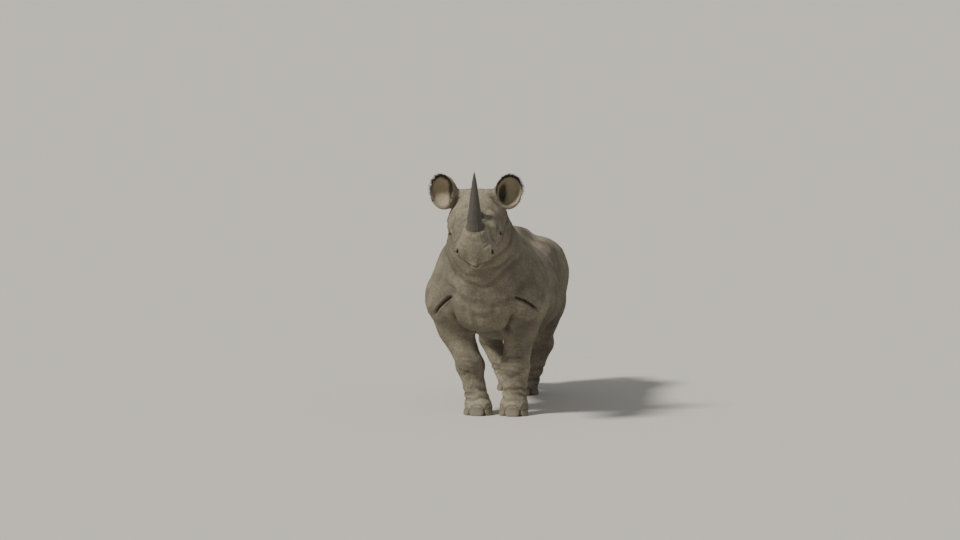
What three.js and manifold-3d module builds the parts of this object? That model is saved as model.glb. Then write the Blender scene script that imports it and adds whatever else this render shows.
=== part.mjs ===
// A black rhinoceros at life size, standing with its head raised, as a museum model.
// Units are millimetres, +Z is up. The animal faces -Y, so its left side is +X.
// The body is one smooth field of named masses. Each named piece is the part of that
// field between flat parting planes, with a hair's gap to its neighbours.
import * as THREE from 'three';
import { mergeVertices } from 'three/addons/utils/BufferGeometryUtils.js';
import Module from 'manifold-3d';

const wasm = await Module();
wasm.setup();

// ---------------------------------------------------------------- driving dimensions
const GAP = 0.5;                 // between two neighbouring pieces
const WITHERS = 1500;            // height of the back over the forelegs
const SADDLE = 1365;             // height of the back at its lowest
const CROUP = 1405;              // height of the back over the hips
const BRISKET = 700;             // underside of the chest
const BELLY = 512;               // underside of the barrel
const BARREL_HALF = 468;         // half the width of the barrel
const SHOULDER_SWAY = -14;       // the shoulders stand this far over the right forefoot
const HIND_Y = 1450;             // the left hind foot stands this far behind the forefeet
const STEP_BACK = 290;           // and the right hind foot this much farther back

// The head is laid out on its own axes: x to its left, s forward along the line of the
// nose from the back of the skull, h up at right angles to that line.
const HEAD_ROOT = new THREE.Vector3(-23, -575, 1825);
const HEAD_PITCH = 25;           // degrees, nose down
const HEAD_YAW = 8.3;            // degrees, to its left
const EYE = { x: 174, s: 396, h: -146, radius: 25 };
const FRONT_HORN = { s: 556, h: -75, height: 500, sweep: 112, lean: -4, half: 68, depth: 82 };
const REAR_HORN = { s: 385, h: -70, height: 285, sweep: 40, lean: 4, half: 60, depth: 78 };
const EAR = { x: 260, s: 22, h: 16, half: 112, long: 130, deep: 104, wall: 11 };

const HIDE = { color: 0x8a8170, roughness: 0.9 };
const HORN = { color: 0x4c463d, roughness: 0.6 };
const HOOF = { color: 0x6f6757, roughness: 0.65 };
const EYEBALL = { color: 0x14100c, roughness: 0.12 };
const HAIR = { color: 0x1d1a17, roughness: 0.85 };

// ---------------------------------------------------------------- fields
// A field is a function of x, y, z: negative inside, about the distance in mm outside.
const radians = THREE.MathUtils.degToRad;

const headTurn = new THREE.Matrix4().makeRotationFromEuler(
  new THREE.Euler(radians(HEAD_PITCH), 0, radians(HEAD_YAW), 'ZYX'),
);

// A point given on the head's own axes, in the animal's frame.
function onHead(x, s, h) {
  return new THREE.Vector3(x, -s, h).applyMatrix4(headTurn).add(HEAD_ROOT);
}

function ellipsoid(centre, radii, turn = new THREE.Matrix4()) {
  const [a, b, c] = radii;
  const e = turn.clone().transpose().elements;
  return (x, y, z) => {
    const dx = x - centre.x;
    const dy = y - centre.y;
    const dz = z - centre.z;
    const u = e[0] * dx + e[4] * dy + e[8] * dz;
    const v = e[1] * dx + e[5] * dy + e[9] * dz;
    const w = e[2] * dx + e[6] * dy + e[10] * dz;
    const near = Math.hypot(u / a, v / b, w / c);
    const slope = Math.hypot(u / (a * a), v / (b * b), w / (c * c));
    return (near * (near - 1)) / Math.max(slope, 1e-9);
  };
}

// A limb that tapers from one round end to the other. Flat < 1 narrows it across X.
function taper(from, fromRadius, to, toRadius, flat = 1) {
  const ax = to.x - from.x;
  const ay = to.y - from.y;
  const az = to.z - from.z;
  const length2 = ax * ax + ay * ay + az * az;
  return (x, y, z) => {
    const along = ((x - from.x) * ax + (y - from.y) * ay + (z - from.z) * az) / length2;
    const t = Math.min(1, Math.max(0, along));
    const dx = (x - from.x - t * ax) / flat;
    const away = Math.hypot(dx, y - from.y - t * ay, z - from.z - t * az);
    return (away - fromRadius - t * (toRadius - fromRadius)) * Math.min(1, (1 + flat) / 2);
  };
}

function smoothMin(a, b, blend) {
  const h = Math.max(blend - Math.abs(a - b), 0) / blend;
  return Math.min(a, b) - h * h * blend * 0.25;
}

// Joins masses one after another, each with its own blend.
function joined(masses) {
  return (x, y, z) => {
    let value = masses[0].field(x, y, z);
    for (let i = 1; i < masses.length; i += 1) {
      value = smoothMin(value, masses[i].field(x, y, z), masses[i].blend);
    }
    return value;
  };
}

// ---------------------------------------------------------------- trunk and neck
const point = (x, y, z) => new THREE.Vector3(x, y, z);
const ball = (x, y, z, a, b, c, blend) => ({ field: ellipsoid(point(x, y, z), [a, b, c]), blend });
const limb = (from, r0, to, r1, blend, flat) => ({ field: taper(from, r0, to, r1, flat), blend });

const chestMid = (WITHERS + BRISKET) / 2;
const trunkMasses = [
  ball(SHOULDER_SWAY / 2, 330, chestMid - 55, 435, 640, chestMid - 55 - BRISKET, 0),
  ball(0, 850, 905, BARREL_HALF, 560, 905 - BELLY, 200),
  ball(0, 1430, 985, 356, 450, CROUP - 1060, 200),
  ball(SHOULDER_SWAY, -40, 1000, 370, 370, 305, 160),
  ball(SHOULDER_SWAY, -230, 885, 200, 150, 165, 120),
];

// The ridge of the back: y, height and radius from the withers to the croup.
const RIDGE = [
  [-120, WITHERS, 110], [330, WITHERS - 70, 95], [760, SADDLE, 95], [1180, CROUP - 12, 100],
  [1560, CROUP - 20, 110],
];
for (let i = 1; i < RIDGE.length; i += 1) {
  const [y0, z0, r0] = RIDGE[i - 1];
  const [y1, z1, r1] = RIDGE[i];
  const sway0 = SHOULDER_SWAY * (i === 1 ? 1 : 0);
  trunkMasses.push(limb(point(sway0, y0, z0 - r0), r0, point(0, y1, z1 - r1), r1, 130));
}

// The blade and muscle of a shoulder, the hip bone and the mass of a haunch.
for (const side of [1, -1]) {
  const sway = SHOULDER_SWAY;
  trunkMasses.push(limb(
    point(side * 165 + sway, 90, 1295), 150, point(side * 300 + sway, -40, 930), 178, 110,
  ));
  trunkMasses.push(ball(side * 238, 1225, 1175, 80, 120, 90, 150));
  trunkMasses.push(ball(side * 202, 1500, 935, 166, 330, 340, 110));
}

const neckMasses = [
  limb(point(SHOULDER_SWAY, -60, 1190), 330, point(-13, -480, 1570), 210, 150, 1.12),
  limb(point(SHOULDER_SWAY, -30, 1350), 165, point(-13, -470, 1690), 118, 120),
  limb(point(SHOULDER_SWAY, -230, 1080), 190, point(-13, -560, 1450), 140, 120),
];

// ---------------------------------------------------------------- legs
// Joints of one leg from the top down, each with its radius.
const FORE_LEG = {
  left: { shoulder: 300, elbow: 245, wrist: 200, foot: 200, y: 0 },
  right: { shoulder: -322, elbow: -292, wrist: -160, foot: -88, y: 0 },
};

function foreLegMasses({ shoulder, elbow, wrist, foot, y }) {
  const fetlock = foot + (wrist - foot) * 0.28;
  return [
    limb(point(shoulder, y - 60, 930), 165, point(elbow, y + 30, 700), 128, 0),
    limb(point(elbow, y + 30, 700), 128, point(wrist, y - 5, 400), 103, 60),
    limb(point(elbow, y + 130, 760), 70, point(elbow * 0.97, y + 90, 640), 60, 70),
    ball(wrist, y - 20, 395, 108, 100, 88, 50),
    limb(point(wrist, y, 380), 98, point(fetlock, y + 4, 140), 92, 50),
    ball(foot, y - 14, 62, 107, 121, 92, 50),
  ];
}

const HIND_LEG = {
  left: { knee: 286, hock: 200, foot: 74, y: HIND_Y, kneeY: 1235 },
  right: { knee: -300, hock: -280, foot: -85, y: HIND_Y + STEP_BACK, kneeY: 1330 },
};

function hindLegMasses({ knee, hock, foot, y, kneeY }) {
  const hockY = y + 80;
  const fetlock = foot + (hock - foot) * 0.3;
  const hip = Math.sign(knee) * 235;
  return [
    limb(point(hip, 1500, 1020), 250, point(knee, kneeY + 40, 800), 170, 0, 0.72),
    limb(point(knee, kneeY + 20, 790), 162, point(hock, hockY - 15, 450), 92, 90, 0.85),
    limb(point(knee * 0.95, kneeY + 190, 760), 135, point(hock, hockY + 38, 480), 54, 80, 0.8),
    ball(hock, hockY, 440, 84, 98, 84, 50),
    limb(point(hock, hockY - 5, 420), 87, point(fetlock, y + 22, 140), 84, 50),
    ball(foot, y - 8, 58, 102, 117, 88, 50),
  ];
}

// ---------------------------------------------------------------- head
function headBall(x, s, h, a, b, c, blend) {
  return { field: ellipsoid(onHead(x, s, h), [a, b, c], headTurn), blend };
}
const headLimb = (from, r0, to, r1, blend) => limb(onHead(...from), r0, onHead(...to), r1, blend);

function headMasses() {
  const masses = [
    headBall(0, 110, -122, 172, 165, 148, 0),
    headBall(0, 300, -118, 142, 190, 112, 90),
    headBall(0, 500, -105, 118, 170, 100, 80),
    headBall(0, 560, -48, 90, 96, 52, 40),
    headBall(0, 585, -178, 134, 96, 100, 60),
    headLimb([0, 600, -215], 88, [0, 672, -268], 30, 50),
    headBall(0, 200, -270, 120, 190, 118, 70),
    headLimb([0, 250, -300], 100, [0, 572, -296], 64, 60),
    headLimb([-98, 25, -20], 52, [98, 25, -20], 52, 70),
  ];
  for (const side of [1, -1]) {
    masses.push(headBall(side * 146, 190, -215, 58, 140, 125, 60));
    masses.push(headBall(side * 124, 378, -134, 54, 88, 66, 60));
    masses.push(headLimb([side * 122, 270, -66], 34, [side * 130, 415, -98], 30, 40));
    masses.push(headBall(side * 93, 605, -168, 46, 60, 62, 35));
    masses.push(headLimb([side * 118, 380, -190], 60, [side * 96, 560, -215], 48, 60));
  }
  return masses;
}

const trunkField = joined([...trunkMasses, ...neckMasses]);
const headField = joined(headMasses());
const BLEND_HEAD = 90;
const BLEND_LEG = 110;

const bodyField = (x, y, z) => smoothMin(trunkField(x, y, z), headField(x, y, z), BLEND_HEAD);

function withLeg(masses) {
  const legField = joined(masses);
  return (x, y, z) => smoothMin(bodyField(x, y, z), legField(x, y, z), BLEND_LEG);
}
const legFields = [
  withLeg(foreLegMasses(FORE_LEG.left)),
  withLeg(foreLegMasses(FORE_LEG.right)),
  withLeg(hindLegMasses(HIND_LEG.left)),
  withLeg(hindLegMasses(HIND_LEG.right)),
];
const wholeField = (x, y, z) => Math.min(...legFields.map((field) => field(x, y, z)));

const tailField = joined([
  limb(point(0, 1780, 1205), 80, point(0, 1905, 1190), 61, 0),
  limb(point(0, 1905, 1190), 61, point(0, 1985, 1120), 50, 18),
  limb(point(0, 1985, 1120), 50, point(0, 2030, 995), 40, 18),
  limb(point(0, 2030, 995), 40, point(0, 2050, 780), 30, 14),
  limb(point(0, 2050, 780), 30, point(0, 2035, 600), 25, 10),
]);
const BLEND_TAIL = 50;
const rumpField = (x, y, z) => smoothMin(wholeField(x, y, z), tailField(x, y, z), BLEND_TAIL);

// ---------------------------------------------------------------- surfaces and solids
const CORNERS = [0, 1, 2, 3, 4, 5, 6, 7].map((i) => [i & 1, (i >> 1) & 1, i >> 2]);
const EDGES = [];
for (let i = 0; i < 8; i += 1) {
  for (const bit of [1, 2, 4]) {
    if (!(i & bit)) EDGES.push([i, i | bit]);
  }
}

// Moves a point on to the field's zero surface by a few Newton steps.
function settle(field, p) {
  const step = 0.5;
  for (let round = 0; round < 4; round += 1) {
    const value = field(...p);
    const slope = [0, 1, 2].map((axis) => {
      const q = [...p];
      q[axis] += step;
      return (field(...q) - value) / step;
    });
    const length2 = Math.max(slope[0] ** 2 + slope[1] ** 2 + slope[2] ** 2, 0.04);
    for (let axis = 0; axis < 3; axis += 1) p[axis] -= (value * slope[axis]) / length2;
  }
  return p;
}

// The closed surface of a field inside a box, as a net of one vertex per cell. The box is
// [low, high] and the cell is its size along x, y and z.
function surface(field, [low, high], cell) {
  const boxed = (x, y, z) => Math.max(
    field(x, y, z), low[0] - x, x - high[0], low[1] - y, y - high[1], low[2] - z, z - high[2],
  );
  const count = [0, 1, 2].map((axis) => Math.ceil((high[axis] - low[axis]) / cell[axis]) + 3);
  const place = (axis, i) => low[axis] + (i - 1.013) * cell[axis];
  const slot = (i, j, k) => (k * count[1] + j) * count[0] + i;
  const values = new Float64Array(count[0] * count[1] * count[2]);
  for (let k = 0; k < count[2]; k += 1) {
    for (let j = 0; j < count[1]; j += 1) {
      for (let i = 0; i < count[0]; i += 1) {
        values[slot(i, j, k)] = boxed(place(0, i), place(1, j), place(2, k));
      }
    }
  }
  const vertexOf = new Int32Array(values.length).fill(-1);
  const positions = [];
  for (let k = 0; k < count[2] - 1; k += 1) {
    for (let j = 0; j < count[1] - 1; j += 1) {
      for (let i = 0; i < count[0] - 1; i += 1) {
        const near = CORNERS.map(([a, b, c]) => values[slot(i + a, j + b, k + c)]);
        const sum = [0, 0, 0];
        let crossings = 0;
        for (const [a, b] of EDGES) {
          if (near[a] < 0 === near[b] < 0) continue;
          const t = near[a] / (near[a] - near[b]);
          for (let axis = 0; axis < 3; axis += 1) {
            sum[axis] += CORNERS[a][axis] + t * (CORNERS[b][axis] - CORNERS[a][axis]);
          }
          crossings += 1;
        }
        if (!crossings) continue;
        const at = [i, j, k].map((n, axis) => place(axis, n + sum[axis] / crossings));
        vertexOf[slot(i, j, k)] = positions.length / 3;
        positions.push(...settle(boxed, at));
      }
    }
  }
  const index = [];
  const stride = [1, count[0], count[0] * count[1]];
  for (let k = 1; k < count[2] - 1; k += 1) {
    for (let j = 1; j < count[1] - 1; j += 1) {
      for (let i = 1; i < count[0] - 1; i += 1) {
        const here = slot(i, j, k);
        for (let axis = 0; axis < 3; axis += 1) {
          const inside = values[here] < 0;
          if (inside === values[here + stride[axis]] < 0) continue;
          const u = stride[(axis + 1) % 3];
          const v = stride[(axis + 2) % 3];
          const ring = [here, here - u, here - u - v, here - v].map((n) => vertexOf[n]);
          if (!inside) ring.reverse();
          index.push(ring[0], ring[1], ring[2], ring[0], ring[2], ring[3]);
        }
      }
    }
  }
  const geometry = new THREE.BufferGeometry();
  geometry.setAttribute('position', new THREE.Float32BufferAttribute(positions, 3));
  geometry.setIndex(index);
  return geometry;
}

// The same net with every vertex moved outward by the gap.
function grown(net) {
  const wider = net.clone();
  wider.computeVertexNormals();
  const at = wider.attributes.position;
  const out = wider.attributes.normal;
  for (let i = 0; i < at.count; i += 1) {
    const place = point().fromBufferAttribute(at, i);
    place.addScaledVector(point().fromBufferAttribute(out, i), GAP);
    at.setXYZ(i, ...place.toArray());
  }
  return solidOf(wider);
}

function solidOf(geometry) {
  const bare = geometry.clone();
  bare.deleteAttribute('normal');
  bare.deleteAttribute('uv');
  const merged = mergeVertices(bare, 1e-3);
  return new wasm.Manifold(new wasm.Mesh({
    numProp: 3,
    vertProperties: merged.attributes.position.array,
    triVerts: new Uint32Array(merged.index.array),
  }));
}

function geometryOf(solid) {
  const mesh = solid.getMesh();
  const geometry = new THREE.BufferGeometry();
  geometry.setAttribute('position', new THREE.BufferAttribute(mesh.vertProperties, 3));
  geometry.setIndex(new THREE.BufferAttribute(mesh.triVerts, 1));
  geometry.computeVertexNormals();
  return geometry;
}

// ---------------------------------------------------------------- parting planes
const HUGE = 6000;

// The solid half of space behind a plane, moved along its outward normal by shift.
function halfSpace({ at, out }, shift) {
  const normal = point(...out).normalize();
  const box = new THREE.BoxGeometry(HUGE, HUGE, HUGE);
  box.translate(0, 0, -HUGE / 2);
  box.applyQuaternion(new THREE.Quaternion().setFromUnitVectors(point(0, 0, 1), normal));
  box.translate(...point(...at).addScaledVector(normal, shift).toArray());
  return solidOf(box);
}

function region(planes, shift) {
  return planes
    .map((plane) => halfSpace(plane, shift))
    .reduce((whole, half) => whole.intersect(half));
}
const flipped = (plane) => ({ at: plane.at, out: plane.out.map((n) => -n) });

const FLOOR = { at: [0, 0, -GAP / 2], out: [0, 0, -1] };
const NECK_HEAD = { at: [-9, -505, 1600], out: [0.07, -0.978, 0.2] };
const CHEST_NECK = { at: [SHOULDER_SWAY, -270, 1330], out: [0, -0.83, 0.56] };
const BARREL_CHEST = { at: [0, 470, 1000], out: [0, -1, 0] };
const RUMP_BARREL = { at: [0, 1130, 1000], out: [0, -1, 0] };
const TAIL_RUMP = { at: [0, 1888, 1180], out: [0, 1, 0] };
const TAIL_TIP = { at: [0, 2040, 610], out: [0, 0, -1] };

// A leg leaves the trunk below a plane that rises outward from the armpit or groin.
function legRoot(side, inner, reach, height, front, back) {
  return [
    { at: [side * reach, 0, height], out: [-side * 0.55, 0, 0.84] },
    { at: [inner, 0, 0], out: [-side, 0, 0] },
    { at: [0, front, 0], out: [0, -1, 0] },
    { at: [0, back, 0], out: [0, 1, 0] },
  ];
}
const LEG_ROOTS = [
  legRoot(1, 56, 300, 775, -262, 222),
  legRoot(-1, 56, 320, 775, -262, 222),
  legRoot(1, 0, 300, 850, 1060, 2200),
  legRoot(-1, 0, 300, 850, 1080, 2200),
];

// ---------------------------------------------------------------- the pieces
const rhino = new THREE.Group();

function addPiece(name, solid, finish) {
  const material = new THREE.MeshStandardMaterial({ ...finish, metalness: 0 });
  const mesh = new THREE.Mesh(geometryOf(solid), material);
  mesh.name = name;
  rhino.add(mesh);
}

// The part of a net that lies behind all the planes, less the cutters.
function flesh(name, net, planes, cutters = []) {
  let solid = solidOf(net).intersect(region(planes, -GAP / 2));
  for (const cutter of cutters) solid = solid.subtract(cutter);
  addPiece(name, solid, HIDE);
}

// ---------------------------------------------------------------- trunk, neck and tail
const [rootLF, rootRF, rootLH, rootRH] = LEG_ROOTS.map((planes) => region(planes, GAP / 2));
const TRUNK_CELL = [107, 136, 107];
const TAIL_CELL = [40, 40, 62];
const BRUSH_CELL = [26, 26, 40];

const trunkNet = surface(rumpField, [[-640, -760, 480], [640, 2150, 1960]], TRUNK_CELL);
const tailNet = surface(rumpField, [[-96, 1830, 520], [96, 2140, 1340]], TAIL_CELL);
flesh('chest', trunkNet, [CHEST_NECK, flipped(BARREL_CHEST)], [rootLF, rootRF]);
flesh('barrel', trunkNet, [BARREL_CHEST, flipped(RUMP_BARREL)], [rootLH, rootRH]);
flesh('rump', trunkNet, [RUMP_BARREL, TAIL_RUMP], [rootLH, rootRH]);
flesh('neck', trunkNet, [NECK_HEAD, flipped(CHEST_NECK)]);
flesh('tail', tailNet, [flipped(TAIL_RUMP), TAIL_TIP]);

// The brush at the end of the tail: a flat fringe of stiff hair on a thin core.
const brushField = joined([
  limb(point(0, 2035, 640), 25, point(0, 2030, 540), 30, 0, 0.75),
  limb(point(0, 2030, 540), 30, point(0, 2024, 430), 9, 30, 0.7),
]);
const brush = solidOf(surface(brushField, [[-60, 1960, 380], [60, 2110, 700]], BRUSH_CELL));
addPiece('tail_brush', brush.intersect(region([flipped(TAIL_TIP)], -GAP / 2)), HAIR);

// ---------------------------------------------------------------- legs, feet and nails
// Each leg is an upper length, a shank and a foot with three nails, all cut square to it.
const LEGS = [
  { name: 'foreleg_left', x: FORE_LEG.left.foot, y: FORE_LEG.left.y },
  { name: 'foreleg_right', x: FORE_LEG.right.foot, y: FORE_LEG.right.y },
  { name: 'hindleg_left', x: HIND_LEG.left.foot, y: HIND_LEG.left.y },
  { name: 'hindleg_right', x: HIND_LEG.right.foot, y: HIND_LEG.right.y },
];
const ANKLE = 150;
const FORE_KNEE = { at: [0, 0, 505], out: [0, 0, -1] };
const UPPER_CELL = [72, 80, 100];
const SHANK_CELL = [66, 66, 96];
const FOOT_CELL = [60, 60, 50];
const NAIL = { half: 46, middle: 58, tall: 46, deep: 24, height: 36, spread: 60, lean: 18 };

function nailSolid(leg, angle) {
  const reach = point(Math.sin(angle) * 93, -Math.cos(angle) * 106 - 14, 0);
  return solidOf(new THREE.SphereGeometry(1, 7, 5)
    .scale(angle === 0 ? NAIL.middle : NAIL.half, NAIL.deep, NAIL.tall)
    .rotateX(radians(-NAIL.lean))
    .rotateZ(angle)
    .translate(leg.x + reach.x, leg.y + reach.y, NAIL.height));
}

LEGS.forEach((leg, i) => {
  const fore = i < 2;
  const side = i % 2 ? -1 : 1;
  const field = legFields[i];
  const knee = fore ? FORE_KNEE : { at: [0, leg.y - 90, 690], out: [0, 0.6, -0.8] };
  const ankle = { at: [0, 0, ANKLE], out: [0, 0, -1] };
  const near = side * -20;
  const far = side * 600;
  const upperBox = [
    [Math.min(near, far), fore ? -340 : 960, fore ? 340 : 430],
    [Math.max(near, far), fore ? 300 : 2060, fore ? 1080 : 1320],
  ];
  flesh(leg.name + '_upper', surface(field, upperBox, UPPER_CELL), [...LEG_ROOTS[i], knee]);
  const shankBox = [
    [Math.min(near, side * 480), leg.y - (fore ? 200 : 440), ANKLE - 90],
    [Math.max(near, side * 480), leg.y + (fore ? 200 : 330), fore ? 640 : 1000],
  ];
  const shankNet = surface(field, shankBox, SHANK_CELL);
  flesh(leg.name + '_shank', shankNet, [...LEG_ROOTS[i], flipped(knee), ankle]);
  const footBox = [[leg.x - 200, leg.y - 200, -70], [leg.x + 200, leg.y + 200, ANKLE + 90]];
  const footNet = surface(field, footBox, FOOT_CELL);
  flesh(leg.name + '_foot', footNet, [flipped(ankle), FLOOR]);
  const grownFoot = grown(footNet);
  for (const [place, turn] of [['front', 0], ['outer', side], ['inner', -side]]) {
    const nail = nailSolid(leg, turn * radians(NAIL.spread)).subtract(grownFoot);
    addPiece(leg.name + '_nail_' + place, nail.intersect(region([FLOOR], -GAP / 2)), HOOF);
  }
});

// ---------------------------------------------------------------- head and eyes
const headOut = (x, s, h) => point(x, -s, h).applyMatrix4(headTurn).toArray();

// The mouth runs from the lips back towards the jaw joint. The jaw is all below it.
const MOUTH = { at: onHead(0, 650, -278).toArray(), out: headOut(0, -0.16, 1) };
const JAW_BACK = { at: onHead(0, 150, -300).toArray(), out: headOut(0, -1, -0.25) };
const HEAD_BOX = [[-360, -1320, 1120], [380, -300, 2020]];
const HEAD_CELL = [53, 57, 53];

function eyeSolid(side, radius) {
  const centre = onHead(side * EYE.x, EYE.s, EYE.h);
  return solidOf(new THREE.SphereGeometry(radius, 8, 6).translate(...centre.toArray()));
}
const sockets = [1, -1].map((side) => eyeSolid(side, EYE.radius + GAP));

const headNet = surface(wholeField, HEAD_BOX, HEAD_CELL);
const jawRoom = region([MOUTH, JAW_BACK], GAP / 2);
flesh('head', headNet, [flipped(NECK_HEAD)], [jawRoom, ...sockets]);
flesh('lower_jaw', headNet, [flipped(NECK_HEAD), MOUTH, JAW_BACK]);
addPiece('eye_left', eyeSolid(1, EYE.radius), EYEBALL);
addPiece('eye_right', eyeSolid(-1, EYE.radius), EYEBALL);

// ---------------------------------------------------------------- horns and ears
// The head grown by the gap cuts what stands on it to its shape.
const grownHead = grown(headNet);

// A horn is a stack of ovals that shrink and sweep back as they rise.
function hornSolid({ s, h, height, sweep, lean, half, depth }) {
  const stack = 8;
  const profile = [new THREE.Vector2(0, 0)];
  for (let i = 0; i < stack; i += 1) {
    profile.push(new THREE.Vector2((1 - i / stack) ** 0.7, i / stack));
  }
  profile.push(new THREE.Vector2(0, 1));
  const horn = new THREE.LatheGeometry(profile, 11);
  const at = horn.attributes.position;
  for (let i = 0; i < at.count; i += 1) {
    const rise = at.getY(i);
    const forward = s + at.getZ(i) * depth - sweep * rise ** 1.7;
    const place = onHead(at.getX(i) * half + lean * rise, forward, h + height * rise);
    at.setXYZ(i, place.x, place.y, place.z);
  }
  return solidOf(horn).subtract(grownHead);
}
addPiece('horn_front', hornSolid(FRONT_HORN), HORN);
addPiece('horn_rear', hornSolid(REAR_HORN), HORN);

// An ear is a deep oval cup on a short stalk, its mouth turned forward.
const EAR_CELL = [51, 51, 51];

function earSolid(side) {
  const centre = onHead(side * EAR.x, EAR.s, EAR.h);
  const forward = point(side * 0.46, -0.88, 0.08).normalize();
  const across = new THREE.Vector3().crossVectors(point(side * 0.16, 0, 1), forward).normalize();
  const along = new THREE.Vector3().crossVectors(forward, across);
  const turn = new THREE.Matrix4().makeBasis(across, forward.clone().negate(), along);
  const shell = ellipsoid(centre, [EAR.half, EAR.deep, EAR.long], turn);
  const stalkTop = centre.clone().addScaledVector(along, -EAR.long * 0.42)
    .addScaledVector(forward, -EAR.deep * 0.3);
  const stalk = taper(onHead(side * 112, 5, -60), 68, stalkTop, 66);
  const around = [-230, 230].map((reach) => centre.toArray().map((n) => n + reach));
  const outer = solidOf(surface(
    (x, y, z) => smoothMin(shell(x, y, z), stalk(x, y, z), 60), around, EAR_CELL,
  ));
  const hollow = new THREE.SphereGeometry(1, 10, 7)
    .scale(EAR.half - EAR.wall, EAR.deep - EAR.wall, EAR.long - EAR.wall)
    .applyMatrix4(turn)
    .translate(...centre.clone().addScaledVector(forward, 4).toArray());
  const rim = halfSpace({ at: centre.toArray(), out: forward.toArray() }, EAR.wall);
  return outer.intersect(rim).subtract(solidOf(hollow)).subtract(grownHead);
}
addPiece('ear_left', earSolid(1), HIDE);
addPiece('ear_right', earSolid(-1), HIDE);

// The origin is at the middle of the underside of the box round the whole animal.
const extent = new THREE.Box3().setFromObject(rhino);
const middle = extent.getCenter(new THREE.Vector3());
rhino.position.set(-middle.x, -middle.y, -extent.min.z);

const part = new THREE.Group();
part.add(rhino);
export default part;
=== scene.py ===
"""A black rhinoceros at life size, made as a still museum model: hide, eyes, horns, nails and hair.

Everything is in metres. +Z is up and the animal faces -Y, so its left side is +X.
"""
import math

import bmesh
import bpy
import numpy as np
from mathutils import Matrix, Vector


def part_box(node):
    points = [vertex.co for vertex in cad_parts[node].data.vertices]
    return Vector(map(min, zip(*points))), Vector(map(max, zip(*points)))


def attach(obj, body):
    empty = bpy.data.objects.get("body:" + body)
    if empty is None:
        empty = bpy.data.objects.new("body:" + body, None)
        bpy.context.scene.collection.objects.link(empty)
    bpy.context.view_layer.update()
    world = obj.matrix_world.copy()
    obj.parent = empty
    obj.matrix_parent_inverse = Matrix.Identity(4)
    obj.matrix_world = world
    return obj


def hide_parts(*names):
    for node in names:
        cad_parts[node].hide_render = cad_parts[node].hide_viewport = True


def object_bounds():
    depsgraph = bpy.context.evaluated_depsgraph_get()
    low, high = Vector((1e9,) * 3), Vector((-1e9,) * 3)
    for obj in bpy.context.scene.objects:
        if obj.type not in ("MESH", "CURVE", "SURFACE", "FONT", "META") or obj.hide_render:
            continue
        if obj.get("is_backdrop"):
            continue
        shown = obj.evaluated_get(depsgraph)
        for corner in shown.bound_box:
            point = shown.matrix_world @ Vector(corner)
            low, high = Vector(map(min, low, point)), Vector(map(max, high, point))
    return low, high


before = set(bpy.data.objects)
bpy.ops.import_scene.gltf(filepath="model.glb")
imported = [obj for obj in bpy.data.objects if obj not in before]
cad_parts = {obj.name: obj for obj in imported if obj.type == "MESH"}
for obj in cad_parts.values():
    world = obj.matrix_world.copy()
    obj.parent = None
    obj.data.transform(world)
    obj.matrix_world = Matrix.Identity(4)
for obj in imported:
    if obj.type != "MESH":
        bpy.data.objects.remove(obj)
cad_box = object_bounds()

# ------------------------------------------------------------------------------ the form
# The animal under its hide is one smooth volume of named masses, the same that carry the solids:
# barrel, chest, ridge of the back, shoulders, haunches, neck, skull, legs, tail and ears. Heights
# are over the floor, and Y is counted backwards from the forefeet.
WITHERS = 1.500
SADDLE = 1.365
CROUP = 1.405
BRISKET = 0.700
BELLY = 0.512
BARREL_HALF = 0.468
SHOULDER_SWAY = -0.014
HIND_Y = 1.450
STEP_BACK = 0.290
HEAD_ROOT = np.array([-0.023, -0.575, 1.825])
HEAD_PITCH = math.radians(25)
HEAD_YAW = math.radians(8.3)
EYE = (0.174, 0.396, -0.146)
EYE_RADIUS = 0.025

head_turn = np.array(Matrix.Rotation(HEAD_YAW, 3, "Z") @ Matrix.Rotation(HEAD_PITCH, 3, "X"))


def head_way(x, s, h):
    """A way on the head's own axes: x to its left, s forward along the nose, h up."""
    return head_turn @ np.array([x, -s, h])


def on_head(x, s, h):
    """A place on the head, counted from the middle of the brow line."""
    return head_way(x, s, h) + HEAD_ROOT


def eye_centre(side):
    return on_head(side * EYE[0], EYE[1], EYE[2])


def unit(v):
    return v / np.linalg.norm(v)


def length(v):
    return np.sqrt(np.einsum("ij,ij->i", v, v))


def ellipsoid(centre, radii, turn=None):
    radii = np.array(radii)
    centre = np.array(centre)

    def field(p):
        d = p - centre
        if turn is not None:
            d = d @ turn
        near = length(d / radii)
        slope = length(d / radii**2)
        return near * (near - 1) / np.maximum(slope, 1e-6)

    return field


def taper(start, r0, end, r1, flat=1.0):
    """A limb that tapers from one round end to the other. flat < 1 narrows it across X."""
    start = np.array(start)
    axis = np.array(end) - start

    def field(p):
        d = p - start
        t = np.clip(d @ axis / (axis @ axis), 0, 1)
        d = d - t[:, None] * axis
        d[:, 0] /= flat
        return (length(d) - r0 - t * (r1 - r0)) * min(1, (1 + flat) / 2)

    return field


def smooth_min(a, b, blend):
    h = np.maximum(blend - np.abs(a - b), 0) / max(blend, 1e-9)
    return np.minimum(a, b) - h * h * blend * 0.25


def joined(masses):
    """Joins (field, blend) pairs one after another."""

    def field(p):
        value = masses[0][0](p)
        for part, blend in masses[1:]:
            value = smooth_min(value, part(p), blend)
        return value

    return field


def ball(x, y, z, a, b, c, blend):
    return ellipsoid((x, y, z), (a, b, c)), blend


def limb(start, r0, end, r1, blend, flat=1.0):
    return taper(start, r0, end, r1, flat), blend


def head_ball(x, s, h, a, b, c, blend):
    return ellipsoid(on_head(x, s, h), (a, b, c), head_turn), blend


def head_limb(start, r0, end, r1, blend):
    return limb(on_head(*start), r0, on_head(*end), r1, blend)


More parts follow.
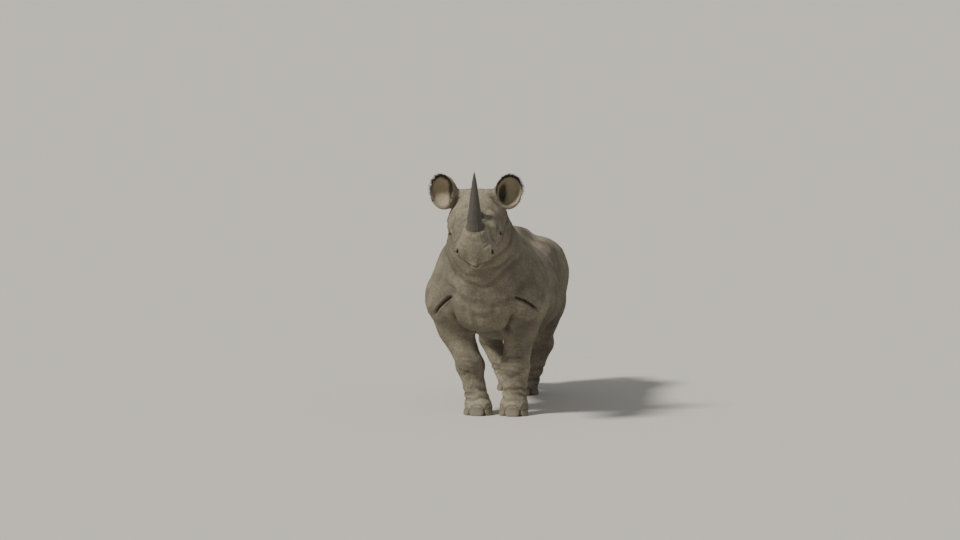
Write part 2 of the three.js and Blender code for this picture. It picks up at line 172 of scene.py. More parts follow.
def trunk_masses():
    sway = SHOULDER_SWAY
    chest_mid = (WITHERS + BRISKET) / 2
    masses = [
        ball(sway / 2, 0.330, chest_mid - 0.055, 0.435, 0.640, chest_mid - 0.055 - BRISKET, 0),
        ball(0, 0.850, 0.905, BARREL_HALF, 0.560, 0.905 - BELLY, 0.200),
        ball(0, 1.430, 0.985, 0.356, 0.450, CROUP - 1.060, 0.200),
        ball(sway, -0.040, 1.000, 0.370, 0.370, 0.305, 0.160),
        ball(sway, -0.230, 0.885, 0.200, 0.150, 0.165, 0.120),
    ]
    ridge = [
        (sway, -0.120, WITHERS, 0.110),
        (0, 0.330, WITHERS - 0.070, 0.095),
        (0, 0.760, SADDLE, 0.095),
        (0, 1.180, CROUP - 0.012, 0.100),
        (0, 1.560, CROUP - 0.020, 0.110),
    ]
    for (x0, y0, z0, r0), (x1, y1, z1, r1) in zip(ridge, ridge[1:]):
        masses.append(limb((x0, y0, z0 - r0), r0, (x1, y1, z1 - r1), r1, 0.130))
    for side in (1, -1):
        blade = (side * 0.165 + sway, 0.090, 1.295)
        point_of_shoulder = (side * 0.300 + sway, -0.040, 0.930)
        masses += [
            limb(blade, 0.150, point_of_shoulder, 0.178, 0.110),
            ball(side * 0.238, 1.225, 1.175, 0.080, 0.120, 0.090, 0.150),
            ball(side * 0.202, 1.500, 0.935, 0.166, 0.330, 0.340, 0.110),
        ]
    return masses + [
        limb((sway, -0.060, 1.190), 0.330, (-0.013, -0.480, 1.570), 0.210, 0.150, 1.12),
        limb((sway, -0.030, 1.350), 0.165, (-0.013, -0.470, 1.690), 0.118, 0.120),
        limb((sway, -0.230, 1.080), 0.190, (-0.013, -0.560, 1.450), 0.140, 0.120),
    ]


def head_masses():
    masses = [
        head_ball(0, 0.110, -0.122, 0.172, 0.165, 0.148, 0),
        head_ball(0, 0.300, -0.118, 0.142, 0.190, 0.112, 0.090),
        head_ball(0, 0.500, -0.105, 0.118, 0.170, 0.100, 0.080),
        head_ball(0, 0.560, -0.048, 0.090, 0.096, 0.052, 0.040),
        head_ball(0, 0.585, -0.178, 0.134, 0.096, 0.100, 0.060),
        head_limb((0, 0.600, -0.215), 0.088, (0, 0.672, -0.268), 0.030, 0.050),
        head_ball(0, 0.200, -0.270, 0.120, 0.190, 0.118, 0.070),
        head_limb((0, 0.250, -0.300), 0.100, (0, 0.572, -0.296), 0.064, 0.060),
        head_limb((-0.098, 0.025, -0.020), 0.052, (0.098, 0.025, -0.020), 0.052, 0.070),
    ]
    for side in (1, -1):
        brow = (side * 0.122, 0.270, -0.066)
        cheek = (side * 0.118, 0.380, -0.190)
        masses += [
            head_ball(side * 0.146, 0.190, -0.215, 0.058, 0.140, 0.125, 0.060),
            head_ball(side * 0.124, 0.378, -0.134, 0.054, 0.088, 0.066, 0.060),
            head_limb(brow, 0.034, (side * 0.130, 0.415, -0.098), 0.030, 0.040),
            head_ball(side * 0.093, 0.605, -0.168, 0.046, 0.060, 0.062, 0.035),
            head_limb(cheek, 0.060, (side * 0.096, 0.560, -0.215), 0.048, 0.060),
        ]
    return masses


def fore_leg_masses(shoulder, elbow, wrist, foot):
    fetlock = foot + (wrist - foot) * 0.28
    return [
        limb((shoulder, -0.060, 0.930), 0.165, (elbow, 0.030, 0.700), 0.128, 0),
        limb((elbow, 0.030, 0.700), 0.128, (wrist, -0.005, 0.400), 0.103, 0.060),
        limb((elbow, 0.130, 0.760), 0.070, (elbow * 0.97, 0.090, 0.640), 0.060, 0.070),
        ball(wrist, -0.020, 0.395, 0.108, 0.100, 0.088, 0.050),
        limb((wrist, 0, 0.380), 0.098, (fetlock, 0.004, 0.140), 0.092, 0.050),
        ball(foot, -0.014, 0.062, 0.107, 0.121, 0.092, 0.050),
    ]


def hind_leg_masses(knee, knee_y, hock, foot, y):
    hock_y = y + 0.080
    fetlock = foot + (hock - foot) * 0.3
    hip = (math.copysign(0.235, knee), 1.500, 1.020)
    stifle = (knee, knee_y + 0.020, 0.790)
    thigh_back = (knee * 0.95, knee_y + 0.190, 0.760)
    return [
        limb(hip, 0.250, (knee, knee_y + 0.040, 0.800), 0.170, 0, 0.72),
        limb(stifle, 0.162, (hock, hock_y - 0.015, 0.450), 0.092, 0.090, 0.85),
        limb(thigh_back, 0.135, (hock, hock_y + 0.038, 0.480), 0.054, 0.080, 0.8),
        ball(hock, hock_y, 0.440, 0.084, 0.098, 0.084, 0.050),
        limb((hock, hock_y - 0.005, 0.420), 0.087, (fetlock, y + 0.022, 0.140), 0.084, 0.050),
        ball(foot, y - 0.008, 0.058, 0.102, 0.117, 0.088, 0.050),
    ]


# Each foot's middle, X and Y, and the form of its leg.
FEET = {
    "foreleg_left": (0.200, 0.0),
    "foreleg_right": (-0.088, 0.0),
    "hindleg_left": (0.074, HIND_Y),
    "hindleg_right": (-0.085, HIND_Y + STEP_BACK),
}
legs = [
    joined(fore_leg_masses(0.300, 0.245, 0.200, FEET["foreleg_left"][0])),
    joined(fore_leg_masses(-0.322, -0.292, -0.160, FEET["foreleg_right"][0])),
    joined(hind_leg_masses(0.286, 1.235, 0.200, *FEET["hindleg_left"])),
    joined(hind_leg_masses(-0.300, 1.330, -0.280, *FEET["hindleg_right"])),
]
trunk = joined(trunk_masses())
head = joined(head_masses())
# Down the tail: Y, height, radius, and the blend with the length above.
TAIL = [(1.780, 1.205, 0.080, 0), (1.905, 1.190, 0.061, 0), (1.985, 1.120, 0.050, 0.018),
        (2.030, 0.995, 0.040, 0.018), (2.050, 0.780, 0.030, 0.014), (2.035, 0.600, 0.025, 0.010)]
tail = joined([
    limb((0, y0, z0), r0, (0, y1, z1), r1, blend)
    for (y0, z0, r0, _), (y1, z1, r1, blend) in zip(TAIL, TAIL[1:])
])
BLEND_HEAD = 0.090
BLEND_LEG = 0.110
BLEND_TAIL = 0.050
BLEND_EAR = 0.016

# An ear is a deep oval cup on a short stalk, its mouth turned forward and a little out.
EAR = {"x": 0.260, "s": 0.022, "h": 0.016, "half": 0.112, "long": 0.130, "deep": 0.104}
EAR_WALL = 0.011


def ear_axes(side):
    """The ear's centre, and its own axes: across, backwards and along."""
    forward = unit(np.array([side * 0.46, -0.88, 0.08]))
    across = unit(np.cross([side * 0.16, 0, 1], forward))
    along = np.cross(forward, across)
    centre = on_head(side * EAR["x"], EAR["s"], EAR["h"])
    return centre, np.column_stack([across, -forward, along])


def ear_mass(side):
    """The ear as a solid, cut flat at its rim."""
    centre, axes = ear_axes(side)
    shell = ellipsoid(centre, (EAR["half"], EAR["deep"], EAR["long"]), axes)
    top = centre - axes[:, 2] * EAR["long"] * 0.42 + axes[:, 1] * EAR["deep"] * 0.3
    stalk = taper(on_head(side * 0.112, 0.005, -0.060), 0.068, top, 0.066)

    def field(p):
        cup = smooth_min(shell(p), stalk(p), 0.060)
        rim = -(p - centre) @ axes[:, 1] - EAR_WALL
        return -smooth_min(-cup, -rim, 0.008)

    return field


ears = [ear_mass(1), ear_mass(-1)]


def body_form(p):
    """Negative inside the animal and positive outside, about the distance in metres."""
    value = smooth_min(trunk(p), head(p), BLEND_HEAD)
    value = np.min([smooth_min(value, leg(p), BLEND_LEG) for leg in legs], axis=0)
    value = smooth_min(value, tail(p), BLEND_TAIL)
    for ear in ears:
        value = smooth_min(value, ear(p), BLEND_EAR)
    return np.maximum(value, -p[:, 2])


# The animal's own origin, between the forefeet, as the solids place it in this frame.
eye_box = [np.array(corner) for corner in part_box("eye_left")]
ORIGIN = (eye_box[0] + eye_box[1]) / 2 - eye_centre(1)
ORIGIN[2] = 0

# ------------------------------------------------------------------------------ the hide
# The hide is one unbroken skin, thick and nearly bare, from the lips to the tail. It is cut as an
# even net over the whole form, finer on the head, ears and feet, and drawn tight. Then its folds,
# lids and nostrils are pressed in, and the ears are pressed hollow.
CELL = 0.0181
COARSE = 4


def lattice(low, count, step):
    """The points of a box of count[0] x count[1] x count[2] places, step apart."""
    sides = [low[a] + step * np.arange(count[a]) for a in range(3)]
    return np.stack(np.meshgrid(*sides, indexing="ij"), axis=-1).reshape(-1, 3)


def sampled(form, low, count, cell):
    """The form on a fine lattice, worked out in full only near its surface."""
    coarse = [n // COARSE + 1 for n in count]
    rough = form(lattice(low, coarse, cell * COARSE)).reshape(coarse)
    nearest = [np.rint(np.arange(n) / COARSE).astype(int) for n in count]
    values = rough[np.ix_(*nearest)]
    near = np.argwhere(np.abs(values) < cell * COARSE * 1.3)
    values[tuple(near.T)] = form(low + near * cell)
    return values


def surface_net(form, low, high, cell):
    """The form's surface as four-sided faces, with one vertex in each cell that it crosses."""
    count = [int(math.ceil((high[a] - low[a]) / cell / COARSE)) * COARSE for a in range(3)]
    values = sampled(form, low, count, cell)
    corners = np.array([(i & 1, i >> 1 & 1, i >> 2) for i in range(8)])
    x, y, z = (n - 1 for n in count)
    stack = np.stack([values[i:x + i, j:y + j, k:z + k] for i, j, k in corners])
    inside = stack < 0
    crossed = np.argwhere(inside.any(axis=0) & ~inside.all(axis=0))
    near = stack[(slice(None), *crossed.T)]
    total = np.zeros((len(crossed), 3))
    crossings = np.zeros(len(crossed))
    for a, b in ((i, i | bit) for i in range(8) for bit in (1, 2, 4) if not i & bit):
        hit = (near[a] < 0) != (near[b] < 0)
        t = (near[a] / np.where(hit, near[a] - near[b], 1))[:, None]
        total += np.where(hit[:, None], corners[a] + t * (corners[b] - corners[a]), 0)
        crossings += hit
    points = low + (crossed + total / crossings[:, None]) * cell
    number = np.full([n - 1 for n in count], -1)
    number[tuple(crossed.T)] = np.arange(len(crossed))
    faces = []
    ways = np.eye(3, dtype=int)
    for axis in range(3):
        u, v = ways[axis - 2], ways[axis - 1]
        inner = [slice(1, n - 1) for n in count]
        onward = [slice(1 + (a == axis), n - 1 + (a == axis)) for a, n in enumerate(count)]
        here = values[tuple(inner)] < 0
        there = values[tuple(onward)] < 0
        for outward in (True, False):
            place = np.argwhere((here != there) & (here == outward)) + 1
            quad = [number[tuple(q.T)] for q in (place, place - u, place - u - v, place - v)]
            faces.append(np.stack(quad if outward else quad[::-1], axis=1))
    return points, np.concatenate(faces)


def gradient(form, p, step=0.0005):
    """The form's value and its slope at each point."""
    value = form(p)
    slope = [(form(p + step * way) - value) / step for way in np.eye(3)]
    return value, np.stack(slope, axis=1)


def settle(form, p, rounds=2):
    """Moves points straight on to the form's surface."""
    for _ in range(rounds):
        value, slope = gradient(form, p)
        reach = np.maximum(np.einsum("ij,ij->i", slope, slope), 0.05)
        p = p - slope * (value / reach)[:, None]
    return p


low_corner = np.array(cad_box[0]) - ORIGIN - 2.3 * CELL
high_corner = np.array(cad_box[1]) - ORIGIN + 6 * CELL
points, quads = surface_net(body_form, low_corner, high_corner, CELL)


def head_depth(p):
    """How far forward of the back of the skull each point lies, along the nose."""
    return (p - HEAD_ROOT) @ head_way(0, 1, 0)


def around_head(p):
    return (head_depth(p) > -0.06) & (p[:, 2] > 1.25)


def around_face(p):
    """The eyes, muzzle and lips, and both ears."""
    chosen = head_depth(p) > 0.53
    for side in (1, -1):
        chosen |= length(p - eye_centre(side)) < 0.085
        chosen |= length((p - ear_axes(side)[0]) / np.array([1, 0.6, 1])) < 0.142
    return chosen


# Where the skin folds over itself as each foreleg joins the chest.
PLAITS = (
    ((0.215, -0.30, 0.985), (0.265, -0.29, 0.968), (0.330, -0.26, 0.937), (0.388, -0.22, 0.892),
     (0.428, -0.17, 0.848)),
    ((-0.205, -0.29, 0.990), (-0.252, -0.28, 0.968), (-0.318, -0.25, 0.925), (-0.378, -0.21, 0.868),
     (-0.412, -0.16, 0.812)),
)


def around_plaits(p):
    places = np.array(PLAITS).reshape(-1, 3)
    return np.min([length((p - place) / [1, 1.6, 1]) for place in places], axis=0) < 0.056


def around_feet(p):
    return (p[:, 2] > 0.006) & (p[:, 2] < 0.250)


def around_eyes(p):
    return np.min([length(p - eye_centre(side)) for side in (1, -1)], axis=0) < 0.046


def split_finer(mesh, where):
    """Halves every edge whose two ends lie in a region."""
    places = np.array([v.co for v in mesh.verts])
    chosen = where(places)
    edges = [e for e in mesh.edges if chosen[e.verts[0].index] and chosen[e.verts[1].index]]
    bmesh.ops.subdivide_edges(mesh, edges=edges, cuts=1, use_grid_fill=True)
    mesh.verts.index_update()


def drawn_tight(form, p, edges, rounds):
    """Evens out the net along the surface."""
    ends = np.concatenate([edges, edges[:, ::-1]])
    degree = np.bincount(ends[:, 0], minlength=len(p))[:, None]
    for _ in range(rounds):
        total = [np.bincount(ends[:, 0], p[ends[:, 1], a], len(p)) for a in range(3)]
        p = settle(form, p + 0.6 * (np.stack(total, axis=1) / degree - p), 1)
    return p


net = bmesh.new()
rough = bpy.data.meshes.new("rough")
rough.from_pydata(points.tolist(), [], quads.tolist())
net.from_mesh(rough)
bpy.data.meshes.remove(rough)
for region in (around_feet, around_plaits, around_plaits, around_head, around_face, around_eyes):
    split_finer(net, region)
hide_mesh = bpy.data.meshes.new("hide")
net.to_mesh(hide_mesh)
net.free()
skin = np.array([v.co for v in hide_mesh.vertices])
edges = np.array([e.vertices for e in hide_mesh.edges])
skin = drawn_tight(body_form, settle(body_form, skin), edges, 3)

# Every crease is a path laid on the form. The hide sinks along it and swells beside it, and painted shade
# darkens it.
press = np.zeros(len(skin))
shade = np.zeros(len(skin))


def smooth_step(x):
    x = np.clip(x, 0, 1)
    return x * x * (3 - 2 * x)


def bell(x, middle, width):
    """1 at the middle, and less and less on both sides of it."""
    return np.exp(-((x - middle) / width) ** 2)


def swells(p, size, seed, count=12):
    """Soft random swells about size metres across, mostly between -1 and 1."""
    rng = np.random.default_rng(seed)
    waves = rng.normal(size=(count, 3))
    waves *= (2 * math.pi / size * rng.uniform(0.7, 1.4, count) / length(waves))[:, None]
    return np.sin(p @ waves.T + rng.uniform(0, 6.28, count)).sum(axis=1) / math.sqrt(2 * count)


def curve_through(points, count=28):
    """An even run of places on a smooth curve through the points."""
    points = np.array(points, float)
    ends = np.array([2 * points[0] - points[1], *points, 2 * points[-1] - points[-2]])
    places = []
    for x in np.linspace(0, len(points) - 1.0001, count):
        i = int(x)
        t = x - i
        a, b, c, d = ends[i:i + 4]
        cubic = 3 * (b - c) + d - a
        places.append(b + 0.5 * t * (c - a + t * (2 * a - 5 * b + 4 * c - d + t * cubic)))
    return np.array(places)


def painted_shade(path, width, depth, shade_strength):
    """Presses a crease along a path into the hide, and paints shade along it."""
    low, high = path.min(axis=0) - 5 * width, path.max(axis=0) + 5 * width
    near = np.flatnonzero(((skin > low) & (skin < high)).all(axis=1))
    place = skin[near]
    away = np.full(len(near), 9.0)
    run = np.zeros(len(near))
    for i, (a, b) in enumerate(zip(path, path[1:])):
        d = b - a
        t = np.clip((place - a) @ d / (d @ d), 0, 1)
        gap = length(place - a - t[:, None] * d)
        closer = gap < away
        away[closer] = gap[closer]
        run[closer] = (i + t[closer]) / (len(path) - 1)
    fade = smooth_step(np.minimum(run, 1 - run) * 4)
    x = away / width
    press[near] += depth * fade * (0.45 * bell(x, 2.2, 1.2) - bell(x, 0, 1))
    # Painted shade along the crease, darkest at its middle.
    shade[near] = np.maximum(shade[near], shade_strength * fade * bell(0.9 * x, 0, 1))


def marched(start, inward):
    """Where rays that start outside the form first meet it."""
    p = start.copy()
    for _ in range(16):
        p += inward * (0.9 * body_form(p))[:, None]
    return p


def ring(centre, axis, first, last, reach, wobble, seed):
    """A path round a neck or leg, from one angle to another in degrees. 0 is straight up."""
    axis = unit(np.array(axis, float))
    side = unit(np.cross(axis, [0, 0, 1.0] if abs(axis[2]) < 0.9 else [0, 1.0, 0]))
    top = np.cross(side, axis)
    turn = np.radians(np.linspace(first, last, 30))[:, None]
    out = np.cos(turn) * top + np.sin(turn) * side
    drift = wobble * np.sin(2.3 * turn + seed) + wobble * 0.5 * np.sin(5.1 * turn + 2 * seed)
    return marched(np.array(centre) + out * reach + drift * axis, -out)


def laid(points):
    """A path through a few places, brought on to the form."""
    return settle(body_form, curve_through(points), 4)


def on_body(x, y, z):
    return x, y, z


def crease_both(table, place):
    """Creases both sides, with painted shade. Each row has a width, a depth, a strength of painted shade
    and the places of a path.
    """
    for width, depth, shade_strength, *path in table:
        for side in (1, -1):
            painted_shade(laid([place(side * a, b, c) for a, b, c in path]), width, depth, shade_strength)


# The rings of the neck: deepest at the throat and behind the jaw, faint over the crest. Each
# has its place along the neck, the angle at which it starts, its width and its depth.
NECK_LINE = [np.array([SHOULDER_SWAY, -0.100, 1.240]), np.array([-0.013, -0.560, 1.640])]
NECK_RINGS = [(0.06, 118, 0.030, 0.013), (0.30, 92, 0.023, 0.009), (0.47, 112, 0.018, 0.007),
              (0.66, 66, 0.017, 0.007), (0.90, 50, 0.016, 0.010)]
NECK_REACH = 0.62
neck_axis = NECK_LINE[1] - NECK_LINE[0]
for number, (place, start, width, depth) in enumerate(NECK_RINGS):
    middle = NECK_LINE[0] + place * neck_axis
    for way in (1, -1):
        seed = number * 1.7 + way
        path = ring(middle, neck_axis, start * way, 190 * way, NECK_REACH, 0.022, seed)
        painted_shade(path, width, depth, 0.35)

# The plait of skin across each foreleg: a deep cleft in a broad shallow one that runs past it.
for path in np.array(PLAITS):
    before = 2 * path[0] - path[1] + [0, -0.02, 0]
    after = 2 * path[-1] - path[-2]
    painted_shade(laid([before, *path, after]), 0.034, 0.012, 0.22)
    painted_shade(laid(path), 0.0100, 0.019, 1.0)

# The brisket hangs in a few loose upright folds between the forelegs, under a broad V.
BRISKET_V = ((0.175, -0.31, 0.960), (0.080, -0.37, 0.860), (-0.015, -0.39, 0.825),
             (-0.110, -0.37, 0.860), (-0.205, -0.31, 0.960))
BRISKET_FOLDS = ((-0.125, 1.01, 0.017, 0.007), (-0.052, 0.93, 0.022, 0.009),
                 (0.084, 0.98, 0.020, 0.006))
for drop, width, depth in ((0, 0.032, 0.010), (0.070, 0.024, 0.004)):
    painted_shade(laid([(x, y, z - drop) for x, y, z in BRISKET_V]), width, depth, 0.25)
for x, top, width, depth in BRISKET_FOLDS:
    upper = ((x * 1.5, -0.36, top), (x * 1.1, -0.38, top - 0.09))
    painted_shade(laid([*upper, (x, -0.36, 0.800), (x * 0.8, -0.28, 0.715)]), width, depth, 0.25)

# Beside the brisket, behind the shoulder and the elbow, two down the flank in front of the
# thigh, beside the tail and down the buttock.
crease_both((
    (0.020, 0.022, 0.8, (0.215, -0.27, 0.90), (0.180, -0.22, 0.80), (0.160, -0.13, 0.72),
     (0.155, -0.04, 0.69)),
    (0.042, 0.017, 0.15, (0.33, 0.30, 1.34), (0.41, 0.27, 1.16), (0.43, 0.24, 0.98),
     (0.36, 0.21, 0.80)),
    (0.020, 0.018, 0.5, (0.42, 0.10, 1.04), (0.40, 0.15, 0.92), (0.34, 0.17, 0.80), (0.25, 0.16, 0.70)),
    (0.030, 0.024, 0.3, (0.40, 0.96, 1.20), (0.45, 1.02, 1.02), (0.44, 1.08, 0.86), (0.38, 1.12, 0.72),
     (0.26, 1.14, 0.60)),
    (0.020, 0.011, 0.3, (0.44, 0.94, 0.98), (0.42, 1.00, 0.82), (0.35, 1.03, 0.68), (0.24, 1.05, 0.58)),
    (0.020, 0.020, 0.6, (0.070, 1.88, 1.22), (0.100, 1.85, 1.05), (0.090, 1.82, 0.90),
     (0.060, 1.74, 0.76)),
    (0.022, 0.010, 0.3, (0.26, 1.76, 1.04), (0.30, 1.78, 0.90), (0.27, 1.76, 0.76)),
), on_body)

# Short creases cross the front of each knee and hock, and longer ones go round each pastern.
KNEES = (
    ((0.200, -0.020), (0.468, 0.432, 0.398, 0.362, 0.330)),
    ((-0.165, -0.020), (0.470, 0.436, 0.402, 0.368, 0.334)),
    ((0.200, HIND_Y + 0.080), (0.520, 0.482, 0.446, 0.405, 0.368)),
    ((-0.280, HIND_Y + STEP_BACK + 0.080), (0.524, 0.486, 0.448, 0.408, 0.370)),
)
PASTERN = (0.210, 0.172, 0.134)
LEG_REACH = 0.20
for number, ((x, y), heights) in enumerate(KNEES):
    for level, z in enumerate(heights):
        wide = 78 - 9 * abs(level - 2)
        path = ring((x, y, z), (0, 0, 1), 180 - wide, 180 + wide, LEG_REACH, 0.010, number + level)
        painted_shade(path, 0.0135, 0.006, 0.40)
for number, (x, y) in enumerate(FEET.values()):
    for level, z in enumerate(PASTERN):
        start = 40 + 75 * number + 110 * level
        path = ring((x, y, z), (0, 0, 1), start, start + 335, LEG_REACH, 0.009, number * 2 + level)
        painted_shade(path, 0.0125, 0.006 + 0.001 * level, 0.5)

# The toes: a cuff of skin swells over each nail, with a groove along the root of the nail that painted
# shade darkens.
NAIL = {"half": 0.046, "middle": 0.058, "tall": 0.046, "deep": 0.024, "height": 0.036}
NAIL_SPREAD = math.radians(60)
NAIL_LEAN = math.radians(18)
CUFF = 0.0055
GROOVE = 0.003


def nail_axes(foot, turn):
    """The middle of a nail, and its own axes: across, back and up."""
    lean = np.array(Matrix.Rotation(-NAIL_LEAN, 3, "X"))
    spin = np.array(Matrix.Rotation(turn, 3, "Z"))
    out = np.array([math.sin(turn) * 0.093, -math.cos(turn) * 0.106 - 0.014, NAIL["height"]])
    return out + np.array([*foot, 0]), spin @ lean


cuff = np.zeros(len(skin))
for foot in FEET.values():
    for way in (-1, 0, 1):
        middle, axes = nail_axes(foot, way * NAIL_SPREAD)
        half = NAIL["half"] if way else NAIL["middle"]
        across, back, up = ((skin - middle) @ axes).T
        rim = np.hypot(across / half, up / NAIL["tall"])
        over = smooth_step((0.050 - np.abs(back)) / 0.030)
        cuff = np.maximum(cuff, over * bell(rim, 1.28, 0.20))
        press -= over * GROOVE * bell(rim, 1.04, 0.08)
        # Painted shade in the groove.
        shade = np.maximum(shade, over * 0.45 * bell(rim, 1.04, 0.09))
press += CUFF * cuff

# Ribs show faintly along the barrel, and the whole hide is a little uneven.
RIB_GAP = 0.088
RIB_DEPTH = 0.0042
x, y, z = skin.T
flank = smooth_step((np.abs(x) - 0.22) / 0.15) * smooth_step((y - 0.36) / 0.2)
flank *= smooth_step((1.12 - y) / 0.2) * smooth_step((1.28 - z) / 0.2) * smooth_step((z - 0.66) / 0.2)
ribs = np.sin(2 * math.pi * (y + 0.16 * (z - 1)) / RIB_GAP + 0.4 * swells(skin, 0.5, 3))
press += RIB_DEPTH * flank * ribs
calm = 1 - 0.72 * smooth_step((head_depth(skin) + 0.02) / 0.1) * (z > 1.2)
calm *= 1 - 0.5 * smooth_step((0.30 - z) / 0.2)
for size, seed, height in ((0.42, 11, 0.0065), (0.15, 12, 0.0034), (0.07, 13, 0.0016)):
    press += calm * height * swells(skin, size, seed)

# The face, on the head's own axes: the mouth line, the corners of the mouth, the wrinkles of
# the muzzle and nose, the cheek, the back of the jaw and the brow.
crease_both((
    (0.0062, 0.011, 0.8, (-0.030, 0.700, -0.276), (0.030, 0.697, -0.276), (0.085, 0.655, -0.284),
     (0.128, 0.590, -0.296), (0.142, 0.530, -0.302), (0.146, 0.470, -0.318)),
    (0.009, 0.007, 0.5, (0.150, 0.500, -0.290), (0.152, 0.465, -0.312), (0.146, 0.440, -0.345)),
    (0.009, 0.005, 0.4, (0.155, 0.470, -0.275), (0.156, 0.430, -0.305), (0.148, 0.405, -0.345)),
    (0.009, 0.005, 0.4, (0.105, 0.655, -0.235), (0.140, 0.590, -0.250), (0.152, 0.520, -0.255)),
    (0.009, 0.006, 0.4, (0.120, 0.560, -0.105), (0.150, 0.555, -0.160), (0.158, 0.530, -0.220)),
    (0.009, 0.004, 0.3, (0.118, 0.515, -0.095), (0.146, 0.505, -0.150), (0.155, 0.480, -0.215)),
    (0.008, 0.004, 0.3, (0.060, 0.668, -0.130), (0.095, 0.640, -0.120), (0.118, 0.590, -0.115)),
    (0.016, 0.007, 0.35, (0.165, 0.250, -0.215), (0.185, 0.190, -0.270), (0.165, 0.130, -0.330)),
    (0.018, 0.010, 0.4, (0.150, 0.060, -0.160), (0.175, 0.075, -0.240), (0.160, 0.080, -0.330)),
    (0.012, 0.006, 0.3, (0.090, 0.060, -0.010), (0.130, 0.085, -0.050), (0.160, 0.080, -0.110)),
), on_head)

# Fine folds ring the eye. Each has its reach, its first and last angle, and its depth.
EYE_RINGS = ((0.040, -10, 200, 0.0034), (0.040, 215, 335, 0.0030), (0.054, -20, 160, 0.0036),
             (0.056, 205, 320, 0.0036), (0.072, 195, 300, 0.0036), (0.070, 30, 130, 0.0030))
for reach, start, end, depth in EYE_RINGS:
    angles = np.radians(np.linspace(start, end, 9))
    arc = [(EYE[0], EYE[1] + 1.25 * reach * math.cos(a), EYE[2] + reach * math.sin(a)) for a in angles]
    crease_both([(0.0062, depth, 0.4, *arc)], on_head)

# A rough pad of skin swells round the foot of each horn, and painted shade darkens the seam where the horn
# meets it.
HORNS = {
    "horn_front": {"s": 0.556, "h": -0.075, "height": 0.500, "sweep": 0.112, "lean": -0.004,
                   "half": 0.068, "depth": 0.082},
    "horn_rear": {"s": 0.385, "h": -0.070, "height": 0.285, "sweep": 0.040, "lean": 0.004,
                  "half": 0.060, "depth": 0.078},
}
on_axes = (skin - HEAD_ROOT) @ head_turn
on_top = on_axes[:, 2] > -0.12
for horn in HORNS.values():
    reach = np.hypot(on_axes[:, 0] / horn["half"], (-on_axes[:, 1] - horn["s"]) / horn["depth"])
    pad = bell(reach, 1.16, 0.20) * on_top
    press += pad * (0.0085 + 0.0030 * swells(skin, 0.026, 17))
    # Painted shade along the seam at the horn's foot.
    shade = np.maximum(shade, 0.6 * bell(reach, 1, 0.07) * on_top)
skin_normal = gradient(body_form, skin)[1]
skin_normal /= length(skin_normal)[:, None]
press[skin[:, 2] < 0.012] = 0
hide = skin + skin_normal * press[:, None]
hide[:, 2] = np.maximum(hide[:, 2], 0)


def square_to(out, way):
    """The way, turned square to another."""
    return unit(way - out * (way @ out))


# The nostrils are deep slanting slots with thick rims, darkened inside with painted shade.
SLOT_HALF = (0.030, 0.0135)
SLOT_DEPTH = 0.040
SLOT_RIM = 0.0065
SLOT_REACH = 0.075
for side in (1, -1):
    middle = laid([on_head(side * 0.128, 0.628, -0.180), on_head(side * 0.129, 0.627, -0.181)])[0]
    out = unit(gradient(body_form, middle[None])[1][0])
    slant = square_to(out, head_way(side * -0.30, 0.55, 0.75))
    away = skin - middle
    a, b = away @ slant / SLOT_HALF[0], away @ np.cross(out, slant) / SLOT_HALF[1]
    slot = np.hypot(a, b + 0.5 * a * a * side)
    close = length(away) < SLOT_REACH
    pit = SLOT_DEPTH * smooth_step(1.25 - slot) - SLOT_RIM * bell(slot, 1.55, 0.35)
    hide -= out * np.where(close, pit, 0)[:, None]
    # Painted shade inside the pit.
    shade = np.maximum(shade, np.where(close, 1.16 * smooth_step((1.3 - slot) / 0.6), 0))

# The ears are pressed hollow: the flat front of each becomes the inside of its cup. Painted shade darkens
# the deep canal of each cup.
EAR_LIP = 0.93
CANAL_DEPTH = 0.030
ear_inside = np.zeros(len(skin))
for side in (1, -1):
    centre, axes = ear_axes(side)
    across, back, along = ((skin - centre) @ axes).T
    wide, tall, deep = (EAR[key] - EAR_WALL for key in ("half", "long", "deep"))
    reach = np.hypot(across / wide, along / tall)
    front = (-back > EAR_WALL - 0.012) & (reach < 1.0) & (length(skin - centre) < 0.16)
    turn = np.minimum(reach / EAR_LIP, 1) * math.pi / 2
    spread = np.where(reach > 0.02, np.sin(turn) / np.maximum(reach, 0.02), math.pi / 2) * 0.985
    spread = np.where(reach > EAR_LIP, 1, spread)
    canal = np.exp(-(((across + side * 0.012) / 0.020) ** 2) - ((along + 0.010) / 0.052) ** 2)
    bottom = 0.004 - deep * np.cos(turn) - CANAL_DEPTH * canal
    ridges = 0.0035 * np.sin(across / 0.0125 + 14 * along) * smooth_step((0.9 - reach) / 0.3)
    lip = smooth_step((reach - EAR_LIP) / 0.07)
    new_front = (bottom + ridges) * (1 - lip) + EAR_WALL * lip
    moved = (np.column_stack([across * spread, -new_front, along * spread]) @ axes.T + centre)[front]
    for _ in range(4):
        too_thin = np.maximum(body_form(moved) + EAR_WALL * 0.7, 0)
        moved -= np.outer(too_thin * smooth_step((0.62 - reach[front]) / 0.2), axes[:, 1])
    hide[front] = moved
    ear_inside[front] = smooth_step((1.0 - reach[front]) / 0.12)
    # Painted shade in the canal.
    shade[front] = smooth_step((canal[front] - 0.12) / 0.5)

# The lids: two thick folds drawn over the ball of the eye, open in an almond. Painted shade darkens the
# rims of the lids round the opening.
LID = 0.0042
LID_ROLL = 0.0022
LID_REACH = 0.050
OPEN_HALF, OPEN_HIGH = 0.0205, 0.0105


def eye_axes(side):
    """The way an eye looks out, and its own axes ahead and up."""
    slope = gradient(body_form, eye_centre(side)[None])[1][0]
    out = unit(unit(slope) + head_way(0, 0.10, 0))
    ahead = square_to(out, head_way(0, 1, 0.12))
    return out, ahead, np.cross(out, ahead) * side


